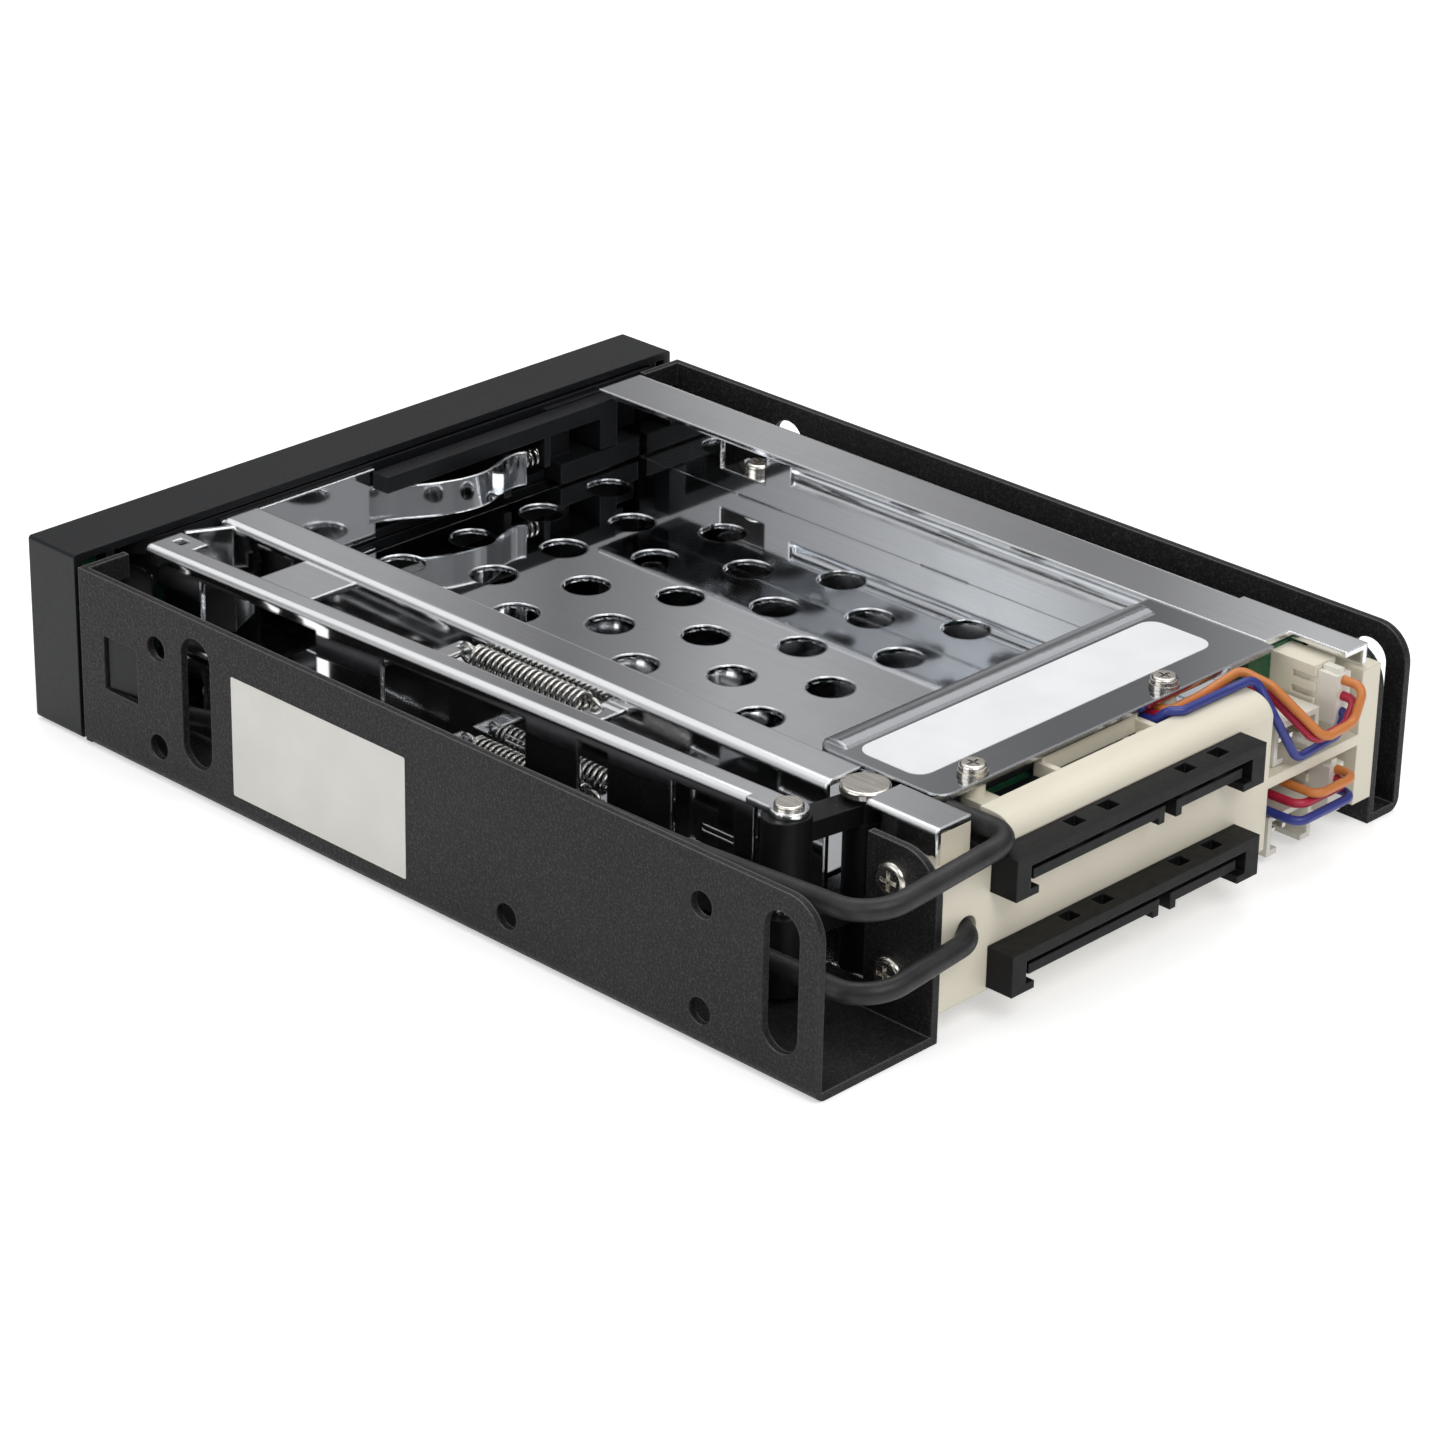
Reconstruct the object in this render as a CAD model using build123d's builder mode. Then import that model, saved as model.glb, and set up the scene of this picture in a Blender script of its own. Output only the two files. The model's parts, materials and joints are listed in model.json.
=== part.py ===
from build123d import *
from math import atan2, cos, degrees, hypot, radians, sin, tan
import os

os.makedirs("parts", exist_ok=True)

# A two-slot, trayless cage for 2.5 inch drives that fills one 3.5 inch drive bay.
# Millimetres. X runs across the width, Y runs from the front bezel back to the host
# connectors, Z is up. The origin is at the middle of the underside.
# A "depth" is a distance back from the front face of the bezel.

# Outer frame: a painted steel tray
BAY_WIDTH = 101.6
FRAME_FRONT = 10.0
FRAME_REAR = 131.3
FRAME_TOP = 23.3
FRAME_SHEET = 1.0
FRAME_BEND = 1.6
FRAME_REAR_CORNER = 4.5
FRONT_FLANGE = 7.0
CONNECTOR_STANDOUT = 3.7
OVERALL_LENGTH = FRAME_REAR + CONNECTOR_STANDOUT

# Mounting holes in both side walls
MOUNT_FIRST = 24.2
MOUNT_SPACING = 90.0
MOUNT_MIDDLE = 60.0
MOUNT_LOW = 4.5
MOUNT_HIGH = 17.3
MOUNT_RADIUS = 1.6
SIDE_SLOT_DEPTHS = (31.4, 125.9)
SIDE_SLOT_WIDTH = 5.2
SIDE_SLOT_LENGTH = 16.8
SIDE_SLOT_MIDDLE = 12.5
SNAP_WINDOW_FRONT = 14.4
SNAP_WINDOW_LENGTH = 6.1
SNAP_WINDOW_HEIGHT = 7.1
SNAP_WINDOW_MIDDLE = 12.3

# Rear tabs of the frame, which carry the backplane bracket
TAB_FRONT = 121.2
TAB_TOP = 22.3
TAB_CORNER = 5.0
NEAR_TAB_INNER = BAY_WIDTH / 2 - 19.2
FAR_TAB_INNER = 6.0 - BAY_WIDTH / 2
TAB_SCREW_DEPTH = 125.3
TAB_SCREW_HEIGHTS = (6.7, 18.1)

# Stainless cage for the drives
STEEL = 0.7
STEEL_BEND = 1.1
NEAR_CHANNEL = 21.0
FAR_CHANNEL = 8.1
CAGE_NEAR = BAY_WIDTH / 2 - NEAR_CHANNEL
CAGE_FAR = FAR_CHANNEL - BAY_WIDTH / 2
CAGE_WIDTH = CAGE_NEAR - CAGE_FAR
CAGE_TOP = 24.0
CAGE_FRONT = 11.9
NEAR_WALL_REAR = 112.4
FAR_FLANGE_REAR = 122.3
FAR_HOOK_REAR = 130.7
FAR_HOOK_DROP = 2.6
NEAR_FLANGE = 5.5
FAR_FLANGE = 8.4
FAR_HOOK_FLANGE = 4.1
BAY_PITCH = 11.6
BAY_TOPS = {"upper": CAGE_TOP, "lower": CAGE_TOP - BAY_PITCH}
FLOOR_REAR = 120.3

# Perforated divider between the two bays
DIVIDER_TOP = CAGE_TOP - BAY_PITCH
DIVIDER_REAR = 112.0
DIVIDER_HOLE = 6.0
HOLE_PITCH_X = 12.2
HOLE_PITCH_Y = 10.37
HOLE_ROWS = 7
HOLE_COLUMNS = 5
HOLE_FIRST_X = CAGE_FAR + 11.4
HOLE_FIRST_DEPTH = 17.0

# Cross plate over the rear of the bays
PLATE_FRONT = 105.0
PLATE_REAR = 123.7
PLATE_NEAR = CAGE_NEAR - NEAR_FLANGE - 0.6
PLATE_FAR = CAGE_FAR + FAR_FLANGE + 0.3
PLATE_RIB = 3.3
PLATE_SCREW_DEPTH = 121.9
PLATE_SCREWS_X = (PLATE_NEAR - 7.1, PLATE_FAR + 17.8)

# Front bezel and doors
BEZEL_HALF_WIDTH = BAY_WIDTH / 2 - 0.3
BEZEL_DEPTH = 8.9
BEZEL_BOTTOM = 0.3
BEZEL_TOP = 24.4
BEZEL_WALL = 1.0
BEZEL_SKIN = 1.3
OPENING_FAR = 3.9 - BEZEL_HALF_WIDTH
DOOR_GAP = 0.4
DOOR_FACE = 0.4
DOOR_REAR = 9.2
DOOR_WALL = 1.2
DOOR_SKIN = 2.0
HINGE_X = BEZEL_HALF_WIDTH - 14.1
HINGE_DEPTH = 4.6
HINGE_PIN_RADIUS = 0.9
HINGE_CLEARANCE = 0.05
DOOR_SWING = 90.0

# Heel of the door, which drives the push rod back
HEEL_REACH = 4.4
HEEL_PHASE = 25.0
HEEL_RADIUS = 1.1
HEEL_HUB = 1.7
HEEL_LOST_MOTION = 0.65

# Push rods, ejector arms and their pivots
ROD_FRONT = 11.5
ROD_REAR = 109.8
ROD_FRONT_X = HINGE_X + 5.2
ROD_REAR_X = HINGE_X + 2.0
ROD_HEIGHT = 10.6
ROD_FLANGE = 3.0
ROD_HEAD_FLANGE = 5.6
ROD_HEAD_LENGTH = 5.0
RIVET_X = ROD_REAR_X - 1.4
RIVET_DEPTH = 113.7
RIVET_RADIUS = 1.2
RIVET_HEAD = 1.7
RIVET_HEAD_HEIGHT = 0.6
PIVOT_X = CAGE_NEAR - 3.2
PIVOT_DEPTH = 115.3
PIVOT_RADIUS = 1.5
PIVOT_HEAD = 2.9
ARM_HUB_RADIUS = 2.5
ARM_BOSS_RADIUS = 2.4
ARM_BEAM = 3.6
ARM_FINGER = 11.5
ARM_DROPS = (4.0, 1.6)

# Return springs
SPRING_X = CAGE_NEAR + 2.2
SPRING_DROP = 1.9
SPRING_RADIUS = 1.35
SPRING_WIRE = 0.5
SPRING_TURNS = 17
SPRING_FRONT = 59.0
SPRING_REAR = 77.6
SPRING_EYE = 1.1

# Backplane: bracket, boards, connectors, headers
BRACKET_FRONT = 122.3
BRACKET_BOTTOM = 3.6
BRACKET_TOP = 22.9
BOARD_THICKNESS = 1.6
CONNECTOR_NEAR = CAGE_NEAR - 5.9
CONNECTOR_LENGTH = 42.6
CONNECTOR_HEIGHT = 5.0
CONNECTOR_DROP = 3.4
DRIVE_CONNECTOR_FRONT = 112.9
BRACKET_BLOCK_FAR = CONNECTOR_NEAR - CONNECTOR_LENGTH - 5.9

# Worked-out values
HALF_WIDTH = BAY_WIDTH / 2
CAGE_INNER_NEAR = CAGE_NEAR - STEEL
CAGE_INNER_FAR = CAGE_FAR + STEEL
CAGE_FLOOR = FRAME_SHEET + STEEL
CONNECTOR_FAR = CONNECTOR_NEAR - CONNECTOR_LENGTH
BOARD_REAR = BRACKET_FRONT - 0.1
BOARD_FRONT = BOARD_REAR - BOARD_THICKNESS
HEEL_START = radians(-HEEL_PHASE)
HEEL_END = radians(DOOR_SWING - HEEL_PHASE)
ROD_TRAVEL = HEEL_REACH * (sin(HEEL_END) - sin(HEEL_START))
ROD_SKEW = atan2(ROD_FRONT_X - ROD_REAR_X, ROD_REAR - ROD_FRONT)
ARM_REACH = hypot(RIVET_X - PIVOT_X, RIVET_DEPTH - PIVOT_DEPTH)
ARM_START = atan2(RIVET_DEPTH - PIVOT_DEPTH, RIVET_X - PIVOT_X)
ARM_SLOT_EXTRA = hypot(RIVET_X - PIVOT_X, RIVET_DEPTH - PIVOT_DEPTH + ROD_TRAVEL) - ARM_REACH


def at(depth):
    """Row Y of a depth behind the bezel's front face."""
    return depth - OVERALL_LENGTH / 2


def front_plane(depth):
    """Plane across the part at a depth, seen from the front: X right, Z up."""
    return Plane(origin=(0, at(depth), 0), x_dir=(1, 0, 0), z_dir=(0, -1, 0))


def side_plane(x):
    """Plane along the part at one X: local x is Y, local y is Z, normal +X."""
    return Plane(origin=(x, 0, 0), x_dir=(0, 1, 0), z_dir=(1, 0, 0))


def slab(x_range, depth_range, z_range, mode=Mode.ADD):
    """Rectangular plate or cut between two corners."""
    (x0, x1), (d0, d1), (z0, z1) = x_range, depth_range, z_range
    with BuildSketch(Plane.XY.offset(z0)) as outline:
        with Locations(((x0 + x1) / 2, at((d0 + d1) / 2))):
            Rectangle(x1 - x0, d1 - d0)
    extrude(outline.sketch, amount=z1 - z0, mode=mode)


def rod(x, depth, radius, z_range, mode=Mode.ADD):
    """Upright round stud or hole."""
    with BuildSketch(Plane.XY.offset(z_range[0])) as circle:
        with Locations((x, at(depth))):
            Circle(radius)
    extrude(circle.sketch, amount=z_range[1] - z_range[0], mode=mode)


def write(piece, name):
    """Label a finished piece and write it as one STEP file."""
    piece.label = name
    export_step(piece, f"parts/{name}.step")


def mount_points():
    """Depth and height of the four corner holes and the middle hole of a side wall."""
    last = MOUNT_FIRST + MOUNT_SPACING
    corners = [(d, z) for d in (MOUNT_FIRST, last) for z in (MOUNT_LOW, MOUNT_HIGH)]
    return corners + [(MOUNT_FIRST + MOUNT_MIDDLE, MOUNT_LOW)]


# Rivets that hold the stainless cage down on the tray
FLOOR_RIVETS = [(x, d) for x in (CAGE_FAR + 8.0, CAGE_NEAR - 8.0) for d in (22.0, 100.0)]
FLOOR_RIVET_RADIUS = 1.5

# Outer frame
ARM_NOTCH = (4.4, 20.3)
with BuildPart() as outer_frame:
    with BuildSketch(front_plane(FRAME_REAR)) as tray_section:
        Rectangle(BAY_WIDTH, FRAME_TOP, align=(Align.CENTER, Align.MIN))
        fillet(tray_section.vertices().group_by(Axis.Y)[0], FRAME_BEND)
        with Locations((0, FRAME_SHEET)):
            Rectangle(BAY_WIDTH - 2 * FRAME_SHEET, FRAME_TOP, align=(Align.CENTER, Align.MIN),
                      mode=Mode.SUBTRACT)
    extrude(amount=FRAME_REAR - FRAME_FRONT)
    fillet(outer_frame.edges().filter_by(Axis.X).group_by(Axis.Z)[-1].group_by(Axis.Y)[-1],
           FRAME_REAR_CORNER)
    # The rear of the floor is open between the two tabs bent up from it
    slab((FAR_TAB_INNER, NEAR_TAB_INNER), (TAB_FRONT, FRAME_REAR + 1), (-1, FRAME_SHEET + 1),
         Mode.SUBTRACT)
    for tab_x in (NEAR_TAB_INNER, FAR_TAB_INNER - FRAME_SHEET):
        with BuildSketch(side_plane(tab_x)) as tab_face:
            with Locations((at((TAB_FRONT + FRAME_REAR) / 2), 0)):
                Rectangle(FRAME_REAR - TAB_FRONT, TAB_TOP, align=(Align.CENTER, Align.MIN))
            fillet(tab_face.vertices().group_by(Axis.Y)[-1].sort_by(Axis.X)[-1], TAB_CORNER)
            with Locations(*[(at(TAB_SCREW_DEPTH), z) for z in TAB_SCREW_HEIGHTS]):
                Circle(1.3, mode=Mode.SUBTRACT)
        extrude(amount=FRAME_SHEET)
    for side in (1, -1):
        inner = HALF_WIDTH - FRONT_FLANGE
        x_range = (inner, HALF_WIDTH - 0.2) if side > 0 else (0.2 - HALF_WIDTH, -inner)
        for z_range in ((FRAME_SHEET / 2, ARM_NOTCH[0]), (ARM_NOTCH[1], FRAME_TOP)):
            slab(x_range, (FRAME_FRONT, FRAME_FRONT + FRAME_SHEET), z_range)
        with BuildSketch(side_plane(side * HALF_WIDTH)) as wall_holes:
            with Locations(*[(at(d), z) for d, z in mount_points()]):
                Circle(MOUNT_RADIUS)
            with Locations(*[(at(d), SIDE_SLOT_MIDDLE) for d in SIDE_SLOT_DEPTHS]):
                SlotOverall(SIDE_SLOT_LENGTH, SIDE_SLOT_WIDTH, rotation=90)
            with Locations((at(SNAP_WINDOW_FRONT + SNAP_WINDOW_LENGTH / 2), SNAP_WINDOW_MIDDLE)):
                RectangleRounded(SNAP_WINDOW_LENGTH, SNAP_WINDOW_HEIGHT, 0.3)
        extrude(wall_holes.sketch, amount=-side * FRAME_SHEET, mode=Mode.SUBTRACT)
    for x, depth in FLOOR_RIVETS:
        rod(x, depth, FLOOR_RIVET_RADIUS, (-1, FRAME_SHEET + 1), Mode.SUBTRACT)
write(outer_frame.part, "outer_frame")

# Stainless cage: floor, two walls and the top flanges that hold the upper drive down
LUG_DEPTHS = (27.0, 36.0)
LUG_REACH = 10.2
ANCHOR_REACH = 4.6
ANCHOR_DEPTHS = (SPRING_REAR + 1.3, SPRING_REAR + 4.4)
WINDOW_DEPTHS = (27.0, 34.8)
WINDOW_HEIGHTS = (15.2, 19.2)
SHELF_REACH = 4.4
WALL_RIB_START = 39.0
WALL_RIB_HEIGHT = 17.6
TAB_SLOT_DEPTHS = (30.0, 62.0, 94.0)
TAB_SLOT_LENGTH = 8.0
with BuildPart() as bay_cage:
    with BuildSketch(front_plane(NEAR_WALL_REAR)) as cage_section:
        with Locations(((CAGE_NEAR + CAGE_FAR) / 2, FRAME_SHEET)):
            Rectangle(CAGE_WIDTH, CAGE_TOP - FRAME_SHEET, align=(Align.CENTER, Align.MIN))
        fillet(cage_section.vertices(), STEEL_BEND)
        with Locations(((CAGE_NEAR + CAGE_FAR) / 2, CAGE_FLOOR)):
            Rectangle(CAGE_WIDTH - 2 * STEEL, CAGE_TOP - STEEL - CAGE_FLOOR,
                      align=(Align.CENTER, Align.MIN), mode=Mode.SUBTRACT)
        mouth = (CAGE_FAR + FAR_FLANGE, CAGE_NEAR - NEAR_FLANGE)
        with Locations(((mouth[0] + mouth[1]) / 2, CAGE_TOP)):
            Rectangle(mouth[1] - mouth[0], 4 * STEEL, mode=Mode.SUBTRACT)
    extrude(amount=NEAR_WALL_REAR - CAGE_FRONT)
    # Floor and far wall run on to the backplane
    slab((CAGE_FAR + STEEL_BEND, CAGE_NEAR - STEEL_BEND), (NEAR_WALL_REAR, FLOOR_REAR),
         (FRAME_SHEET, CAGE_FLOOR))
    slab((CAGE_FAR, CAGE_INNER_FAR), (NEAR_WALL_REAR, FLOOR_REAR),
         (FRAME_SHEET + STEEL, CAGE_TOP - STEEL))
    slab((CAGE_FAR, CAGE_INNER_FAR), (FLOOR_REAR, FAR_HOOK_REAR),
         (CAGE_TOP - FAR_HOOK_DROP, CAGE_TOP - STEEL))
    slab((CAGE_FAR, CAGE_FAR + FAR_FLANGE), (NEAR_WALL_REAR, FAR_FLANGE_REAR),
         (CAGE_TOP - STEEL, CAGE_TOP))
    slab((CAGE_FAR, CAGE_FAR + FAR_HOOK_FLANGE), (FAR_FLANGE_REAR, FAR_HOOK_REAR),
         (CAGE_TOP - STEEL, CAGE_TOP))
    # Slanted guide in front of the near wall
    with BuildSketch(Plane.XY.offset(CAGE_FLOOR + 8.0)) as guide:
        with BuildLine():
            Polyline((CAGE_NEAR - STEEL, at(CAGE_FRONT + 1.4)), (CAGE_NEAR + 5.0, at(CAGE_FRONT - 1.4)),
                     (CAGE_NEAR + 5.3, at(CAGE_FRONT - 0.8)), (CAGE_NEAR - STEEL, at(CAGE_FRONT + 2.2)),
                     close=True)
        make_face()
    extrude(amount=CAGE_TOP - CAGE_FLOOR - 8.4)
    for top in BAY_TOPS.values():
        # Guide lug under the rod's flange, and the lug that the spring hooks into
        with BuildSketch(Plane.XY.offset(top - 2 * STEEL - 0.05)) as lug:
            with Locations((CAGE_NEAR - STEEL / 2, at(sum(LUG_DEPTHS) / 2))):
                Rectangle(LUG_REACH + STEEL / 2, LUG_DEPTHS[1] - LUG_DEPTHS[0],
                          align=(Align.MIN, Align.CENTER))
            fillet(lug.vertices().group_by(Axis.X)[-1], 1.5)
        extrude(amount=STEEL)
        with BuildSketch(Plane.XY.offset(top - SPRING_DROP - STEEL / 2)) as anchor:
            with Locations((CAGE_NEAR - STEEL / 2, at(sum(ANCHOR_DEPTHS) / 2))):
                Rectangle(ANCHOR_REACH + STEEL / 2, ANCHOR_DEPTHS[1] - ANCHOR_DEPTHS[0],
                          align=(Align.MIN, Align.CENTER))
            fillet(anchor.vertices().group_by(Axis.X)[-1], 0.8)
            with Locations((SPRING_X, at(SPRING_REAR + 2 * SPRING_EYE))):
                Circle(SPRING_WIRE / 2 + 0.2, mode=Mode.SUBTRACT)
        extrude(amount=STEEL)
    # Window with its shelf, and the stiffening rib, in the far wall
    slab((CAGE_FAR - 1, CAGE_INNER_FAR + 1), WINDOW_DEPTHS, WINDOW_HEIGHTS, Mode.SUBTRACT)
    slab((CAGE_FAR - SHELF_REACH, CAGE_INNER_FAR), WINDOW_DEPTHS,
         (WINDOW_HEIGHTS[0] - STEEL, WINDOW_HEIGHTS[0]))
    rod(CAGE_FAR - SHELF_REACH / 2, sum(WINDOW_DEPTHS) / 2, 0.95,
        (WINDOW_HEIGHTS[0] - 1, WINDOW_HEIGHTS[0] + 1), Mode.SUBTRACT)
    with BuildSketch(front_plane(FLOOR_REAR - 2.0)) as wall_rib:
        with Locations((CAGE_FAR, WALL_RIB_HEIGHT)):
            Ellipse(0.8, 1.5)
            Rectangle(2.4, 4.0, align=(Align.MIN, Align.CENTER), mode=Mode.SUBTRACT)
    extrude(amount=FLOOR_REAR - 2.0 - WALL_RIB_START)
    with BuildSketch(front_plane(FLOOR_REAR - 2.5)) as rib_hollow:
        with Locations((CAGE_INNER_FAR, WALL_RIB_HEIGHT)):
            Ellipse(0.6, 1.3)
    extrude(amount=FLOOR_REAR - 3.0 - WALL_RIB_START, mode=Mode.SUBTRACT)
    # Slots that take the divider's edge tabs
    for depth in TAB_SLOT_DEPTHS:
        slab((CAGE_FAR - 1, CAGE_NEAR + 1), (depth - 0.05, depth + TAB_SLOT_LENGTH + 0.05),
             (DIVIDER_TOP - STEEL - 0.05, DIVIDER_TOP + 0.05), Mode.SUBTRACT)
    for x, depth in FLOOR_RIVETS + [(PIVOT_X, PIVOT_DEPTH)]:
        rod(x, depth, FLOOR_RIVET_RADIUS, (FRAME_SHEET - 1, CAGE_FLOOR + 1), Mode.SUBTRACT)
write(bay_cage.part, "bay_cage")

# Flush rivets through the cage floor and the tray
with BuildPart() as floor_rivets:
    for x, depth in FLOOR_RIVETS:
        rod(x, depth, FLOOR_RIVET_RADIUS, (0, CAGE_FLOOR))
write(floor_rivets.part, "floor_rivets")


def divider_holes():
    """Centres of the staggered holes, row by row from the front."""
    points = []
    for row in range(HOLE_ROWS):
        shift = HOLE_PITCH_X / 2 * (row % 2)
        for column in range(HOLE_COLUMNS):
            x = HOLE_FIRST_X + shift + column * HOLE_PITCH_X
            points.append((x, at(HOLE_FIRST_DEPTH + row * HOLE_PITCH_Y)))
    return points


with BuildPart() as divider_plate:
    with BuildSketch(Plane.XY.offset(DIVIDER_TOP - STEEL)) as divider_outline:
        with Locations(((CAGE_NEAR + CAGE_FAR) / 2, at((CAGE_FRONT + DIVIDER_REAR) / 2))):
            Rectangle(CAGE_WIDTH - 2 * STEEL, DIVIDER_REAR - CAGE_FRONT)
        for depth in TAB_SLOT_DEPTHS:
            with Locations(((CAGE_NEAR + CAGE_FAR) / 2, at(depth + TAB_SLOT_LENGTH / 2))):
                Rectangle(CAGE_WIDTH, TAB_SLOT_LENGTH)
        with Locations(*divider_holes()):
            Circle(DIVIDER_HOLE / 2, mode=Mode.SUBTRACT)
    extrude(amount=STEEL)
write(divider_plate.part, "divider_plate")

# Cross plate with a rolled rib along its front edge
with BuildPart() as rear_top_plate:
    with BuildSketch(Plane.XY.offset(CAGE_TOP - STEEL)) as plate_outline:
        with Locations(((PLATE_NEAR + PLATE_FAR) / 2, at((PLATE_FRONT + PLATE_REAR) / 2))):
            Rectangle(PLATE_NEAR - PLATE_FAR, PLATE_REAR - PLATE_FRONT)
        fillet(plate_outline.vertices().group_by(Axis.X)[-1], 2.0)
        with Locations(*[(x, at(PLATE_SCREW_DEPTH)) for x in PLATE_SCREWS_X]):
            Circle(1.3, mode=Mode.SUBTRACT)
    extrude(amount=STEEL)
    with BuildSketch(side_plane(PLATE_FAR + 3.0)) as rib_section:
        with Locations((at(PLATE_FRONT + PLATE_RIB / 2), CAGE_TOP)):
            Ellipse(PLATE_RIB / 2, 0.55)
            Rectangle(PLATE_RIB + 1, 2.0, align=(Align.CENTER, Align.MAX), mode=Mode.SUBTRACT)
    extrude(amount=PLATE_NEAR - PLATE_FAR - 4.5)
    # Joggled ends that tuck under the cage flanges
    for x_range in ((PLATE_NEAR - 2.5, PLATE_NEAR + 3.0), (PLATE_FAR - 4.0, PLATE_FAR + 2.5)):
        slab(x_range, (PLATE_FRONT + 0.6, NEAR_WALL_REAR - 1.0),
             (CAGE_TOP - 2 * STEEL, CAGE_TOP - STEEL))
write(rear_top_plate.part, "rear_top_plate")

# Bent cap over the near end of the bracket
CAP_FRONT = 118.3
CAP_SKIRT_FRONT = 120.6
CAP_REAR = 128.5
CAP_SKIRT = 4.4
with BuildPart() as end_cap:
    slab((CAGE_NEAR - NEAR_FLANGE, CAGE_NEAR), (CAP_FRONT, CAP_REAR), (CAGE_TOP - STEEL, CAGE_TOP))
    slab((CAGE_INNER_NEAR, CAGE_NEAR), (CAP_SKIRT_FRONT, CAP_REAR), (CAGE_TOP - CAP_SKIRT, CAGE_TOP))
    fillet(end_cap.edges().filter_by(Axis.Y).group_by(Axis.Z)[-1].group_by(Axis.X)[-1], 0.6)
write(end_cap.part, "end_cap")

# Moulded bracket that carries the board; its section has a trough and a round back
TROUGH_REAR = 126.3
TROUGH_FLOOR = 19.4
SEAT_RADIUS = 1.5
HUMP_TOP = 127.8
SHOULDER = 20.75
SHELF_HEIGHTS = (11.4, 12.8)
POST_FAR_WIDTH = 3.4
NOTCH_X = (CAGE_NEAR - 9.5, CAGE_NEAR - NEAR_FLANGE)
SLEEVE_EXIT = (CAGE_NEAR - 2.2, 12.4)
SEAT_FLOOR = CAGE_TOP - CONNECTOR_DROP + 0.15
TROUGH_WALL = 0.8
TROUGH_RIBS_X = (PLATE_SCREWS_X[0] - 10.3, PLATE_SCREWS_X[1] + 6.0)
TROUGH_POSTS_X = (PLATE_SCREWS_X[1] + 8.6, PLATE_SCREWS_X[1] + 10.9)
with BuildPart() as backplane_bracket:
    with BuildSketch(side_plane(BRACKET_BLOCK_FAR)) as bracket_section:
        with BuildLine():
            Polyline((at(TROUGH_REAR), BRACKET_TOP), (at(TROUGH_REAR), TROUGH_FLOOR),
                     (at(BRACKET_FRONT), TROUGH_FLOOR), (at(BRACKET_FRONT), BRACKET_BOTTOM),
                     (at(FRAME_REAR), BRACKET_BOTTOM), (at(FRAME_REAR), SHOULDER))
            Spline((at(FRAME_REAR), SHOULDER), (at(HUMP_TOP), BRACKET_TOP),
                   tangents=((-0.35, 1), (-1, 0)))
            Line((at(HUMP_TOP), BRACKET_TOP), (at(TROUGH_REAR), BRACKET_TOP))
        make_face()
    extrude(amount=NEAR_TAB_INNER - BRACKET_BLOCK_FAR)
    # Near end: seat for the cap, and the notch that the upper sleeve leaves through
    slab((CAGE_INNER_NEAR, NEAR_TAB_INNER + 1), (BRACKET_FRONT - 1, FRAME_REAR + 1),
         (CAGE_TOP - CAP_SKIRT, BRACKET_TOP + 1), Mode.SUBTRACT)
    slab(NOTCH_X, (BRACKET_FRONT - 1, FRAME_REAR + 1), (TROUGH_FLOOR, BRACKET_TOP + 1),
         Mode.SUBTRACT)
    slab((NOTCH_X[1], CAGE_INNER_NEAR), (BRACKET_FRONT, CAP_REAR),
         (TROUGH_FLOOR, CAGE_TOP - STEEL))
    slab((NOTCH_X[1], CAGE_INNER_NEAR), (CAP_REAR, FRAME_REAR + 1), (TROUGH_FLOOR, BRACKET_TOP + 1),
         Mode.SUBTRACT)
    # Far end: shelf between the two headers, and the post on the far tab
    slab((FAR_TAB_INNER, BRACKET_BLOCK_FAR), (BRACKET_FRONT, FRAME_REAR), SHELF_HEIGHTS)
    slab((FAR_TAB_INNER, FAR_TAB_INNER + POST_FAR_WIDTH), (BRACKET_FRONT, FRAME_REAR),
         (BRACKET_BOTTOM, CAGE_TOP - FAR_HOOK_DROP - 0.4))
    # Seats of the two screws of the cross plate, each on a rib across the trough
    for x in PLATE_SCREWS_X:
        slab((x - SEAT_RADIUS, x + SEAT_RADIUS), (PLATE_SCREW_DEPTH, TROUGH_REAR + 0.5),
             (SEAT_FLOOR, SEAT_FLOOR + 0.9))
        rod(x, PLATE_SCREW_DEPTH, SEAT_RADIUS, (SEAT_FLOOR, CAGE_TOP - STEEL))
        rod(x, PLATE_SCREW_DEPTH, 1.05, (SEAT_FLOOR + 0.3, CAGE_TOP), Mode.SUBTRACT)
    # Front wall, ribs and two small posts in the trough
    slab(TROUGH_RIBS_X[::-1], (BRACKET_FRONT, BRACKET_FRONT + TROUGH_WALL),
         (TROUGH_FLOOR, CAGE_TOP - STEEL - 0.3))
    for x in TROUGH_RIBS_X:
        slab((x - 0.45, x + 0.45), (BRACKET_FRONT, TROUGH_REAR + 0.5), (TROUGH_FLOOR, BRACKET_TOP - 0.6))
    for x in TROUGH_POSTS_X:
        slab((x - 0.45, x + 0.45), (TROUGH_REAR - 0.9, TROUGH_REAR + 0.5),
             (TROUGH_FLOOR, BRACKET_TOP - 0.6))
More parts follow.
